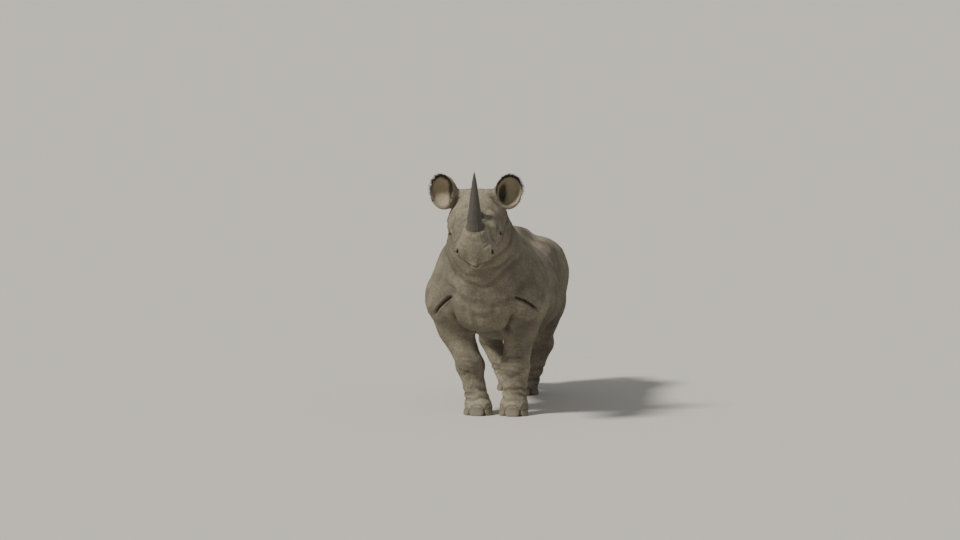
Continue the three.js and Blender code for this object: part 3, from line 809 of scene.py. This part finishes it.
for side in (1, -1):
    out, ahead, up = eye_axes(side)
    away = hide - eye_centre(side)
    a, b, depth = away @ ahead, away @ up, away @ out
    reach = np.hypot(a, b)
    near = (length(away) < 0.075) & (depth > -0.02)
    opening = np.abs(b + 0.10 * a) / OPEN_HIGH + (a / OPEN_HALF) ** 2
    ball_front = np.sqrt(np.maximum((EYE_RADIUS + LID) ** 2 - reach**2, 0))
    lid = -smooth_min(-depth, -ball_front, 0.016)
    lid += LID_ROLL * bell(opening, 1.35, 0.35)
    behind = np.sqrt(np.maximum(EYE_RADIUS**2 - reach**2, 0)) - 0.006
    gone = smooth_step((1.15 - opening) / 0.3)
    target = lid * (1 - gone) + behind * gone
    hide += out * np.where(near & (reach < LID_REACH), target - depth, 0)[:, None]
    # Painted shade round the opening.
    shade = np.maximum(shade, np.where(near, 0.95 * smooth_step((1.75 - opening) / 0.5), 0))

# Dried mud stays on the back and the tops of the limbs, and round the lower legs.
dust = 0.45 * smooth_step((skin_normal[:, 2] - 0.1) / 0.8)
dust += 0.55 * smooth_step((0.42 - skin[:, 2]) / 0.35)
dust = np.clip(dust + 0.30 * swells(skin, 0.50, 19) + 0.12 * swells(skin, 0.13, 20), 0, 1)

# Painted shade darkens the surfaces that face down: the belly and the insides of the limbs.
underside_shade = smooth_step((-skin_normal[:, 2] - 0.25) / 0.6) * (skin[:, 2] > 0.1) * (skin[:, 2] < 1.2)
shade = np.maximum(shade, 0.34 * underside_shade)


def give(mesh, name, values, kind="FLOAT"):
    """Stores one value, or one place, per point of a mesh."""
    attribute = mesh.attributes.new(name, kind, "POINT")
    field = "value" if kind == "FLOAT" else "vector"
    attribute.data.foreach_set(field, np.asarray(values, np.float32).ravel())


hide_mesh.vertices.foreach_set("co", (hide + ORIGIN).astype(np.float32).ravel())
hide_mesh.shade_smooth()
hide_mesh.update()
# The painted shade is stored on the hide, beside the pale inside of the ears and the mud.
for name, values in (("painted_shade", shade), ("ear_inside", ear_inside), ("dust", dust)):
    give(hide_mesh, name, values)


# The finish of the hide: a grey-brown skin split into small plates, under dried tan mud, with painted shade
# in its cracks, creases and hollows.
def feed(tree, made, values):
    """Sets the inputs of a node, or links those whose value is a socket of another node."""
    for socket, value in values.items():
        if isinstance(value, bpy.types.NodeSocket):
            tree.links.new(value, made.inputs[socket])
        else:
            made.inputs[socket].default_value = value
    return made


def node(tree, kind, values=None, **settings):
    """A shader node with its settings, and with values or links for its inputs."""
    made = tree.nodes.new("ShaderNode" + kind)
    for key, value in settings.items():
        setattr(made, key, value)
    return feed(tree, made, values or {})


def maths(tree, operation, *values, clamp=False):
    return node(tree, "Math", dict(enumerate(values)), operation=operation, use_clamp=clamp).outputs[0]


def vector(tree, operation, *values):
    return node(tree, "VectorMath", dict(enumerate(values)), operation=operation).outputs[0]


def own_place(tree):
    return node(tree, "TexCoord").outputs["Object"]


def own_value(tree, name):
    return node(tree, "Attribute", attribute_name=name).outputs["Fac"]


def noise(tree, place, scale, detail, rough=0.5, output="Fac"):
    """Fractal noise over a place, between 0 and 1."""
    values = {"Vector": place, "Scale": scale, "Detail": detail, "Roughness": rough}
    return node(tree, "TexNoise", values).outputs[output]


def ramp(tree, value, low, high, start=0.0, end=1.0, **settings):
    """Start where the value is low, end where it is high, and in between an even way."""
    return node(tree, "MapRange", {0: value, 1: low, 2: high, 3: start, 4: end}, **settings).outputs[0]


def blended(tree, amount, a, b):
    """The colour that is a where amount is 0 and b where it is 1."""
    a, b = (c if isinstance(c, bpy.types.NodeSocket) else (*c, 1) for c in (a, b))
    return node(tree, "Mix", {0: amount, 6: a, 7: b}, data_type="RGBA").outputs[2]


def bump(tree, height, strength, distance):
    return node(tree, "Bump", {"Height": height, "Strength": strength, "Distance": distance}).outputs[0]


def skin_plates():
    """Small domed plates within larger ones, crossed by fine wrinkles, with a mottle over them, and a mask
    of painted shade along the cracks and wrinkles between them.
    """
    group = bpy.data.node_groups.new("skin_plates", "ShaderNodeTree")
    sockets = group.interface
    for name, value in (("Plate Size", 0.009), ("Wrinkles", 0.5)):
        sockets.new_socket(name, in_out="INPUT", socket_type="NodeSocketFloat").default_value = value
    for name in ("Height", "Crack Shade", "Mottle"):
        sockets.new_socket(name, in_out="OUTPUT", socket_type="NodeSocketFloat")
    entry = group.nodes.new("NodeGroupInput")
    place = own_place(group)
    drift = noise(group, place, 31.0, 4.0, output="Color")
    bent = vector(group, "ADD", place, vector(group, "MULTIPLY", drift, (0.009,) * 3))
    scale = maths(group, "DIVIDE", 1.0, entry.outputs["Plate Size"])
    soft = {"interpolation_type": "SMOOTHSTEP"}
    heights = []
    for times, width in ((0.34, 0.20), (1.0, 0.34), (2.7, 0.45)):
        size = maths(group, "MULTIPLY", scale, times)
        cells = node(group, "TexVoronoi", {"Vector": bent, "Scale": size}, feature="DISTANCE_TO_EDGE")
        heights.append(ramp(group, cells.outputs["Distance"], 0.0, width, **soft))
    large, middle, small = heights
    across = []
    for squeeze, seed in (((2.0, 2.0, 11.0), 3.1), ((3.0, 9.0, 1.5), 8.4)):
        lines = vector(group, "ADD", vector(group, "MULTIPLY", bent, squeeze), (seed,) * 3)
        lines = noise(group, lines, 7.0, 4.0, 0.55)
        fold = maths(group, "ABSOLUTE", maths(group, "SUBTRACT", lines, 0.5))
        across.append(ramp(group, fold, 0.0, 0.09, **soft))
    low = node(group, "SeparateXYZ", {0: place}).outputs["Z"]
    low = ramp(group, low, 0.95, 0.60)
    wrinkles = node(group, "Mix", {0: low, 2: across[1], 3: across[0]}, data_type="FLOAT").outputs[0]
    height = maths(group, "MULTIPLY", large, 0.32)
    height = maths(group, "MULTIPLY_ADD", middle, 0.48, height)
    height = maths(group, "MULTIPLY_ADD", small, 0.16, height)
    height = maths(group, "MULTIPLY_ADD", wrinkles, entry.outputs["Wrinkles"], height)
    # Painted shade, strongest along the edges of the plates and along the wrinkles.
    crack_shade = maths(group, "MULTIPLY_ADD", large, 0.35, maths(group, "MULTIPLY", middle, 0.45))
    crack_shade = maths(group, "MULTIPLY_ADD", wrinkles, 0.20, crack_shade)
    crack_shade = maths(group, "SUBTRACT", 1.0, crack_shade)
    mottle = noise(group, place, 6.0, 7.0, 0.52)
    leaving = group.nodes.new("NodeGroupOutput")
    feed(group, leaving, {"Height": height, "Crack Shade": crack_shade, "Mottle": mottle})
    return group


def new_material(name):
    material = bpy.data.materials.new(name)
    material.use_nodes = True
    tree = material.node_tree
    return material, tree, tree.nodes["Principled BSDF"]


BARE_HIDE = (0.150, 0.132, 0.104)
DRY_MUD = (0.305, 0.269, 0.198)
PALE_MUD = (0.470, 0.427, 0.330)
# The dark brown of painted shade.
SHADE_BROWN = (0.034, 0.028, 0.022)
EAR_SKIN = (0.440, 0.385, 0.280)

hide_finish, tree, shader = new_material("mud-dusted hide")
grain = tree.nodes.new("ShaderNodeGroup")
grain.node_tree = skin_plates()
feed(tree, grain, {"Plate Size": 0.0105, "Wrinkles": 0.16})
mottle = grain.outputs["Mottle"]
place = own_place(tree)
uneven = maths(tree, "MULTIPLY", noise(tree, place, 2.3, 6.0, 0.6), 0.55)
uneven = maths(tree, "MULTIPLY_ADD", mottle, 0.55, uneven)
coat = blended(tree, ramp(tree, uneven, 0.40, 0.68), BARE_HIDE, DRY_MUD)
flakes = maths(tree, "MULTIPLY", noise(tree, place, 19.0, 8.0, 0.65), 0.7)
flakes = maths(tree, "MULTIPLY_ADD", own_value(tree, "dust"), 0.5, flakes)
flakes = ramp(tree, flakes, 0.42, 0.80)
coat = blended(tree, maths(tree, "MULTIPLY", flakes, 0.8), coat, PALE_MUD)
# Painted shade in the cracks and wrinkles between the plates.
coat = blended(tree, maths(tree, "MULTIPLY", grain.outputs["Crack Shade"], 0.42), coat, SHADE_BROWN)
coat = blended(tree, maths(tree, "MULTIPLY", own_value(tree, "ear_inside"), 0.8), coat, EAR_SKIN)
# Painted shade from the hide's stored value: creases, pits, hollows and the underside.
deep = maths(tree, "MULTIPLY", own_value(tree, "painted_shade"), 0.86, clamp=True)
feed(tree, shader, {
    "Base Color": blended(tree, deep, coat, SHADE_BROWN),
    "Roughness": ramp(tree, mottle, 0.3, 0.7, 0.78, 0.95),
    "Normal": bump(tree, grain.outputs["Height"], 0.85, 0.0030),
    "Specular IOR Level": 0.3,
})


def in_scene(name, data):
    """A new object of some data, at the origin of the frame."""
    made = bpy.data.objects.new(name, data)
    bpy.context.scene.collection.objects.link(made)
    return made


hide_mesh.materials.append(hide_finish)
hide_piece = in_scene("hide", hide_mesh)
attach(hide_piece, "root")
NOT_FLESH = ("nail", "horn", "eye", "brush")
flesh = [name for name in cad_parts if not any(word in name for word in NOT_FLESH)]
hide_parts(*flesh)

# ------------------------------------------------------------------------------ the eyes
# Each eye is a small wet ball, nearly black, with a deep brown iris and a round pupil. It
# is held by the two lids of the hide and faces sideways and a little forward.
PUPIL = 0.27
IRIS = 0.66
IRIS_BROWN = (0.020, 0.011, 0.006)
EYE_WHITE = (0.060, 0.042, 0.034)
PUPIL_BLACK = (0.004, 0.004, 0.005)
BALL_FIT = 0.985


def joined_grid(rows):
    """A closed mesh through rows of points: rows wrap round, and both ends close on a pole."""
    count, around = rows.shape[:2]
    points = [*rows.reshape(-1, 3), rows[0].mean(axis=0), rows[-1].mean(axis=0)]
    faces = []
    for i in range(count - 1):
        for j in range(around):
            k = (j + 1) % around
            faces.append((i * around + j, i * around + k, (i + 1) * around + k, (i + 1) * around + j))
    last = (count - 1) * around
    for j in range(around):
        k = (j + 1) % around
        faces.append((k, j, count * around))
        faces.append((last + j, last + k, count * around + 1))
    return np.array(points), faces


def added(name, points, faces, finish):
    """A new object, at the origin of the frame, from points in the animal's own frame."""
    mesh = bpy.data.meshes.new(name)
    mesh.from_pydata((points + ORIGIN).tolist(), [], faces)
    mesh.shade_smooth()
    mesh.materials.append(finish)
    return in_scene(name, mesh)


eye_finish, tree, shader = new_material("wet eye")
from_axis = own_value(tree, "from_axis")
rays = noise(tree, own_place(tree), 420.0, 4.0)
iris = blended(tree, rays, IRIS_BROWN, tuple(2.2 * c for c in IRIS_BROWN))
colour = blended(tree, ramp(tree, from_axis, IRIS, IRIS + 0.10), iris, EYE_WHITE)
inner = ramp(tree, from_axis, PUPIL + 0.03, PUPIL - 0.03)
feed(tree, shader, {
    "Base Color": blended(tree, inner, colour, PUPIL_BLACK),
    "Roughness": 0.10,
    "Specular IOR Level": 0.15,
    "Coat Weight": 0.12,
    "Coat Roughness": 0.05,
})

for side, name in ((1, "eye_left"), (-1, "eye_right")):
    gaze, ahead, up = eye_axes(side)
    angle = np.linspace(0.03, math.pi - 0.03, 40)[:, None]
    turn = np.linspace(0, 2 * math.pi, 48, endpoint=False)[None, :]
    bulge = 1 + 0.035 * bell(angle, 0, 0.42) + 0 * turn
    axial = np.cos(angle) + 0 * turn
    beside, over = np.sin(angle) * np.cos(turn), np.sin(angle) * np.sin(turn)
    parts = ((axial, gaze), (beside, ahead), (over, up * side))
    rows = sum((part * bulge)[..., None] * way for part, way in parts)
    points, faces = joined_grid(rows[::-1] * EYE_RADIUS * BALL_FIT)
    eye_piece = added("wet_" + name, points + eye_centre(side), faces, eye_finish)
    give(eye_piece.data, "from_axis", np.arccos(np.clip(points @ gaze / length(points), -1, 1)))
    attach(eye_piece, "root")
    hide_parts(name)

# ------------------------------------------------------------------------------ the horns
# Both horns are matted fibres of keratin that grow from rough pads on the nose. They are
# ridged and split at the foot, where the fibres fray, and worn smooth towards the tip.
HORN_DARK = (0.042, 0.039, 0.034)
HORN_GREY = (0.100, 0.092, 0.079)
HORN_FOOT = (0.185, 0.155, 0.115)
RIDGE_DEPTH = 0.0022
WEAR_DEPTH = 0.0012
FRAY_DEPTH = 0.0055


def horn_points(horn, seed):
    """Rows of places up a horn, and the place of each along its grain."""
    rise = np.concatenate([np.linspace(-0.07, 0.10, 34)[:-1], np.linspace(0.10, 0.995, 120)])[:, None]
    turn = np.linspace(0, 2 * math.pi, 132, endpoint=False)[None, :]
    rng = np.random.default_rng(seed)
    ridges = 0 * turn * rise
    for count, size in ((9, 0.9), (17, 0.7), (29, 0.6), (41, 0.45), (53, 0.35)):
        drift = 0.5 * np.sin(5 * rise + rng.uniform(0, 6)) + rng.uniform(0, 6)
        fade = np.exp(-rise * (2.0 + count / 9))
        ridges = ridges + size * fade * np.sin(count * turn + drift)
    ridges = ridges * RIDGE_DEPTH
    wear = WEAR_DEPTH * np.sin(46 * rise + 1.2 * np.sin(2 * turn + seed)) * np.exp(-2.2 * rise)
    fray = FRAY_DEPTH * bell(rise, 0.085, 0.035) * (0.6 + 0.4 * np.sin(23 * turn + seed))
    foot = 0.010 * np.exp(-np.abs(rise) / 0.11)
    radius = (1 - np.maximum(rise, 0)) ** 0.7 + 1.2 * np.minimum(rise, 0)
    x = np.sin(turn) * (radius * horn["half"] + ridges + wear + fray + foot)
    z = np.cos(turn) * (radius * horn["depth"] + ridges + wear + fray + foot)
    forward = horn["s"] + z - horn["sweep"] * rise**1.7
    up = horn["h"] + horn["height"] * rise + 0 * turn
    spot = np.stack([x + horn["lean"] * rise, -forward, up], axis=-1)
    rows = spot @ head_turn.T + HEAD_ROOT
    grain = np.stack([np.sin(turn) + 0 * rise, np.cos(turn) + 0 * rise, rise + 0 * turn], axis=-1)
    return rows, grain


horn_finish, tree, shader = new_material("fibrous horn")
grain = node(tree, "Attribute", attribute_name="grain").outputs["Vector"]
rise = node(tree, "SeparateXYZ", {0: grain}).outputs["Z"]
fibres = noise(tree, vector(tree, "MULTIPLY", grain, (9.0, 9.0, 2.2)), 3.2, 8.0, 0.7)
scuff = noise(tree, own_place(tree), 34.0, 6.0, 0.65)
colour = blended(tree, ramp(tree, fibres, 0.36, 0.64), HORN_DARK, HORN_GREY)
dusty = maths(tree, "MULTIPLY", ramp(tree, rise, 0.30, 0.08), ramp(tree, scuff, 0.38, 0.62))
rough = maths(tree, "MULTIPLY_ADD", fibres, 0.8, maths(tree, "MULTIPLY", scuff, 0.2))
feed(tree, shader, {
    "Base Color": blended(tree, maths(tree, "MULTIPLY", dusty, 0.42), colour, HORN_FOOT),
    "Roughness": ramp(tree, rise, 0.15, 0.9, 0.82, 0.42),
    "Normal": bump(tree, rough, 0.7, 0.003),
})
for seed, (name, horn) in enumerate(HORNS.items()):
    rows, grain = horn_points(horn, seed + 4)
    points, faces = joined_grid(rows)
    horn_piece = added("fibrous_" + name, points, [face[::-1] for face in faces], horn_finish)
    ends = [[0, 0, 0], [0, 0, 1]]
    give(horn_piece.data, "grain", [*grain.reshape(-1, 3), *ends], "FLOAT_VECTOR")
    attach(horn_piece, "root")
    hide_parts(name)

# ------------------------------------------------------------------------------ the nails
# Three broad nails front each foot. Each is a thick curved plate of horn with rings of
# growth, dull with dust, grown into the hide of the toe and worn flat on the ground.
NAIL_GREY = (0.100, 0.088, 0.072)
NAIL_DUST = (0.265, 0.225, 0.170)


def power(x, exponent):
    return np.sign(x) * np.abs(x) ** exponent


def nail_points(foot, turn, seed):
    """Rows of places over one nail, its poles to the left and right."""
    angle = np.linspace(0.06, math.pi - 0.06, 60)[:, None]
    about = np.linspace(0, 2 * math.pi, 84, endpoint=False)[None, :]
    x = power(np.cos(angle), 0.80) + 0 * about
    front = power(-np.sin(angle) * np.cos(about), 0.62)
    up = power(np.sin(angle) * np.sin(about), 0.88)
    growth = 1 + 0.016 * np.sin(up * 15 + 1.5 * x * x + seed) + 0.007 * np.sin(up * 41 + seed)
    growth = growth + 0.010 * np.sin(x * 23 + 2 * seed) - 0.16 * up
    half = NAIL["middle"] if turn == 0 else NAIL["half"]
    across = x * half * (1 - 0.10 * up)
    place = np.stack([across, front * NAIL["deep"] * growth, up * NAIL["tall"]], axis=-1)
    middle, axes = nail_axes(foot, turn)
    rows = place @ axes.T + middle
    rows[..., 2] = np.maximum(rows[..., 2], 0.0004 + 0.02 * (rows[..., 2] + 0.02).clip(-0.02, 0))
    return rows


nail_finish, tree, shader = new_material("dusty nail")
place = own_place(tree)
bands = noise(tree, vector(tree, "MULTIPLY", place, (1.0, 1.0, 9.0)), 16.0, 7.0, 0.65)
scuff = noise(tree, place, 60.0, 5.0)
low = ramp(tree, node(tree, "SeparateXYZ", {0: place}).outputs["Z"], 0.060, 0.004)
dust = maths(tree, "MULTIPLY_ADD", scuff, 0.7, maths(tree, "MULTIPLY_ADD", low, 0.5, -0.1), clamp=True)
colour = blended(tree, ramp(tree, bands, 0.35, 0.65), NAIL_GREY, HORN_GREY)
feed(tree, shader, {
    "Base Color": blended(tree, dust, colour, NAIL_DUST),
    "Roughness": ramp(tree, scuff, 0.3, 0.7, 0.55, 0.85),
    "Normal": bump(tree, bands, 0.6, 0.002),
})
for foot_name, foot in FEET.items():
    side = 1 if foot_name.endswith("left") else -1
    for where, way in (("front", 0), ("outer", side), ("inner", -side)):
        points, faces = joined_grid(nail_points(foot, way * NAIL_SPREAD, way + 3 * side))
        name = f"{foot_name}_nail_{where}"
        nail_piece = added("dusty_" + name, points, faces, nail_finish)
        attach(nail_piece, "root")
        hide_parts(name)

# ------------------------------------------------------------------------------ the hair
# The hide is bare but for stiff dark bristles: a fringe on the upper rim of each ear, the
# lashes, and two rows at the end of the tail. All of them are rooted in the skin.
HAIR_BLACK = (0.020, 0.016, 0.013)
HAIR_BROWN = (0.095, 0.070, 0.048)
STRAND_SIDES = 3
STRAND_RINGS = 5


def strands(roots, ways, lengths, width, droop, root_uv, rng):
    """Bristles as closed tapered tubes: their points, faces, map places and shades."""
    count = len(roots)
    ways = ways / length(ways)[:, None]
    aside = np.cross(ways, rng.normal(size=(count, 3)))
    aside /= length(aside)[:, None]
    beside = np.cross(ways, aside)
    turn = np.arange(STRAND_SIDES) * 2 * math.pi / STRAND_SIDES
    rows, places = [], []
    for ring in range(STRAND_RINGS):
        t = ring / STRAND_RINGS
        middle = roots + ways * (lengths * t)[:, None] + droop * (lengths * t * t)[:, None]
        thick = width * (1 - t) ** 0.6
        for a in turn:
            rows.append(middle + thick * (math.cos(a) * aside + math.sin(a) * beside))
            places.append(root_uv + 0.0012 * np.array([math.cos(a), t * 2 - 1]))
    rows.append(roots + ways * lengths[:, None] + droop * lengths[:, None])
    places.append(root_uv + np.array([0, 0.0014]))
    per = len(rows)
    points = np.stack(rows, axis=1).reshape(-1, 3)
    uv = np.stack(places, axis=1).reshape(-1, 2)
    one = [tuple(range(STRAND_SIDES))[::-1]]
    for ring in range(STRAND_RINGS - 1):
        for i in range(STRAND_SIDES):
            j = (i + 1) % STRAND_SIDES
            a, b = ring * STRAND_SIDES, (ring + 1) * STRAND_SIDES
            one.append((a + i, a + j, b + j, b + i))
    last = (STRAND_RINGS - 1) * STRAND_SIDES
    for i in range(STRAND_SIDES):
        one.append((last + i, last + (i + 1) % STRAND_SIDES, per - 1))
    faces = [tuple(n * per + v for v in face) for n in range(count) for face in one]
    return points, faces, uv, np.repeat(rng.uniform(0, 1, count), per)


hair_finish, tree, shader = new_material("dark bristle")
fade = noise(tree, own_place(tree), 38.0, 3.0)
tint = maths(tree, "MULTIPLY_ADD", own_value(tree, "strand"), 0.6, maths(tree, "MULTIPLY", fade, 0.4))
feed(tree, shader, {
    "Base Color": blended(tree, tint, HAIR_BLACK, HAIR_BROWN),
    "Roughness": ramp(tree, fade, 0.0, 1.0, 0.45, 0.70),
})


def hair_piece(name, batches):
    """One object of bristles from batches of strands."""
    points, faces, uv, tones = [], [], [], []
    first = 0
    for batch in batches:
        points.append(batch[0])
        faces += [tuple(first + v for v in face) for face in batch[1]]
        uv.append(batch[2])
        tones.append(batch[3])
        first += len(batch[0])
    made = added(name, np.concatenate(points), faces, hair_finish)
    give(made.data, "strand", np.concatenate(tones))
    layer = made.data.uv_layers.new(name="OFBake")
    corner = np.empty(len(made.data.loops), np.int32)
    made.data.loops.foreach_get("vertex_index", corner)
    layer.data.foreach_set("uv", np.concatenate(uv)[corner].astype(np.float32).ravel())
    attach(made, "root")
    return made


# The fringe of each ear grows in small tufts, longest at the top, and thins out down both
# sides. Some of it lies in over the mouth of the cup.
TUFTS = 460
TUFT_HAIRS = 6
FRINGE_WIDTH = 0.0005
FRINGE_DROOP = np.array([0, 0, -0.18])
fringes = []
for side in (1, -1):
    rng = np.random.default_rng(21 + side)
    centre, axes = ear_axes(side)
    around = np.radians(np.clip(rng.normal(0, 52, TUFTS), -130, 130)) - side * 0.15
    rim = rng.uniform(0.90, 1.0, TUFTS)
    lean = rng.uniform(-0.3, 1.0, TUFTS)
    curl = rng.normal(0.10, 0.30, TUFTS)
    around, rim, lean, curl = (np.repeat(v, TUFT_HAIRS) for v in (around, rim, lean, curl))
    count = len(around)
    around = around + rng.normal(0, 0.022, count)
    rim = np.clip(rim + rng.normal(0, 0.012, count), 0.88, 1.0)
    sine, cosine = np.sin(around), np.cos(around)
    flat = (sine * EAR["half"] * rim, np.full(count, -EAR_WALL), cosine * EAR["long"] * rim)
    roots = np.column_stack(flat) @ axes.T + centre
    out = (sine * lean + cosine * curl, np.full(count, -0.75), cosine * lean - sine * curl)
    out = np.column_stack(out)
    out += rng.normal(0, 0.13, (count, 3))
    lengths = 0.040 * np.cos(around / 2.5) ** 2 * rng.uniform(0.35, 1.1, count)
    column = (around / 6.3 + 0.5) * 0.46 + (0.02 if side > 0 else 0.52)
    uv = np.column_stack([column, 0.1 + 7 * (rim - 0.88)])
    fringes.append(strands(roots, out @ axes.T, lengths, FRINGE_WIDTH, FRINGE_DROOP, uv, rng))
hair_piece("ear_fringe", fringes)

# The lashes: one row on each lid, the upper ones longer.
LASHES = 34
LASH_WIDTH = 0.00055
lashes = []
for side in (1, -1):
    rng = np.random.default_rng(31 + side)
    gaze, ahead, up = eye_axes(side)
    for lid, size in ((1, 0.017), (-1, 0.010)):
        t = np.linspace(-0.92, 0.92, LASHES) + rng.normal(0, 0.015, LASHES)
        a = t * OPEN_HALF
        b = lid * OPEN_HIGH * (1 - t * t) * 1.12 - 0.10 * a
        reach = np.sqrt((EYE_RADIUS + LID * 0.7) ** 2 - a * a - b * b)
        roots = eye_centre(side) + np.outer(a, ahead) + np.outer(b, up) + np.outer(reach, gaze)
        way = np.outer(0.5 * t, ahead) + lid * 0.55 * up + gaze + rng.normal(0, 0.10, (LASHES, 3))
        lengths = size * (1 - 0.4 * t * t) * rng.uniform(0.75, 1.1, LASHES)
        column = 0.1 + 0.2 * (t + 1) + (0.45 if side > 0 else 0)
        uv = np.column_stack([column, np.full(LASHES, 0.5 + 0.2 * lid)])
        lashes.append(strands(roots, way, lengths, LASH_WIDTH, np.array([0, 0, 0.25 * lid]), uv, rng))
hair_piece("eyelashes", lashes)

# The brush: a tapering stump of tail with a row of long bristles down each side of it.
BRUSH_TOP = np.array([0, 2.035, 0.640])
BRUSH_MIDDLE = np.array([0, 2.030, 0.540])
BRUSH_END = np.array([0, 2.024, 0.470])
BRISTLES = 1500
BRISTLE_WIDTH = 0.0011
BRISTLE_DROOP = np.array([0, 0, -0.15])
t = np.linspace(0, 1, 26)[:, None]
core = np.where(t < 0.6, BRUSH_TOP + (BRUSH_MIDDLE - BRUSH_TOP) * t / 0.6,
                BRUSH_MIDDLE + (BRUSH_END - BRUSH_MIDDLE) * (t - 0.6) / 0.4)
thick = 0.0225 - 0.002 * t - 0.012 * smooth_step((t - 0.55) / 0.45)
turn = np.linspace(0, 2 * math.pi, 40, endpoint=False)
circle = np.column_stack([np.cos(turn) * 0.8, np.sin(turn), 0 * turn])
points, faces = joined_grid(core[:, None, :] + thick[..., None] * circle)
brush_core = added("brush_core", points, faces, hide_finish)
# The stump is darkened evenly through the painted-shade value, and has no mud.
for name, value in (("painted_shade", 0.35), ("ear_inside", 0), ("dust", 0)):
    give(brush_core.data, name, np.full(len(points), value))
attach(brush_core, "root")
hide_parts("tail_brush")

rng = np.random.default_rng(41)
t = rng.uniform(0, 1, BRISTLES)
way = np.where(rng.uniform(size=BRISTLES) < 0.5, 1, -1)
turn = way * (math.pi / 2) + rng.normal(0, 0.55, BRISTLES)
middle = BRUSH_TOP + (BRUSH_END - BRUSH_TOP) * t[:, None]
out = np.column_stack([np.cos(turn) * 0.8, np.sin(turn), 0 * turn])
roots = middle + out * (0.020 - 0.010 * t)[:, None]
lie = out * 0.50 + np.array([0, 0, -1.0]) + rng.normal(0, 0.10, (BRISTLES, 3))
lengths = rng.uniform(0.055, 0.115, BRISTLES)
uv = np.column_stack([(turn + math.pi) / (2 * math.pi) * 0.9 + 0.05, 0.05 + 0.9 * t])
bristles = strands(roots, lie, lengths, BRISTLE_WIDTH, BRISTLE_DROOP, uv, rng)
hair_piece("tail_bristles", [bristles])

# ------------------------------------------------------------------------------ the stand
# A wide pale floor under an even, soft studio light, with the main light high on the
# animal's right and in front of it.
FLOOR_REACH = 150
FLOOR_DROP = 0.0005
FLOOR_PALE = (0.72, 0.70, 0.66, 1)
floor_mesh = bpy.data.meshes.new("floor")
corners = ((-1, -1), (1, -1), (1, 1), (-1, 1))
corners = [(x * FLOOR_REACH, y * FLOOR_REACH, -FLOOR_DROP) for x, y in corners]
floor_mesh.from_pydata(corners, [], [(0, 1, 2, 3)])
floor_finish, tree, shader = new_material("pale floor")
feed(tree, shader, {"Base Color": FLOOR_PALE, "Roughness": 0.9})
floor_mesh.materials.append(floor_finish)
floor = in_scene("floor", floor_mesh)
floor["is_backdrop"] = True

world = bpy.data.worlds.new("studio")
world.use_nodes = True
background = world.node_tree.nodes["Background"]
feed(world.node_tree, background, {"Color": (0.80, 0.80, 0.80, 1), "Strength": 0.35})
bpy.context.scene.world = world


def lamp(name, toward, spread, strength, colour):
    """A soft light from far away. Toward is the way to it, and spread is its size in degrees."""
    light = bpy.data.lights.new(name, "SUN")
    light.angle = math.radians(spread)
    light.energy = strength
    light.color = colour
    in_scene(name, light).rotation_euler = (-Vector(toward)).to_track_quat("-Z", "Y").to_euler()


lamp("key", (-0.66, -0.70, 0.95), 9, 3.3, (1.0, 0.955, 0.86))
lamp("fill", (0.85, -0.60, 0.45), 70, 0.06, (0.92, 0.96, 1.0))

# ------------------------------------------------------------------------------ the camera
# A long lens, a little to the animal's left and above its shoulder, with wide margins. The
# frame's width is in metres, at the animal.
CAMERA_AZIMUTH = math.radians(9)
CAMERA_HEIGHT = math.radians(5)
CAMERA_REACH = 35.0
FRAME_WIDTH = 7.68
AIM = Vector((-0.08, 0, 1.16)) + Vector(ORIGIN)
lens = bpy.data.cameras.new("camera")
lens.sensor_width = 36
lens.lens = lens.sensor_width * CAMERA_REACH / FRAME_WIDTH
lens.clip_end = 400
back = Vector((
    math.sin(CAMERA_AZIMUTH) * math.cos(CAMERA_HEIGHT),
    -math.cos(CAMERA_AZIMUTH) * math.cos(CAMERA_HEIGHT),
    math.sin(CAMERA_HEIGHT),
))
camera = in_scene("camera", lens)
camera.location = AIM + back * CAMERA_REACH
camera.rotation_euler = (-back).to_track_quat("-Z", "Y").to_euler()
bpy.context.scene.camera = camera

size = {"cad": [list(corner) for corner in cad_box], "visual": [list(corner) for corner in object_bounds()]}
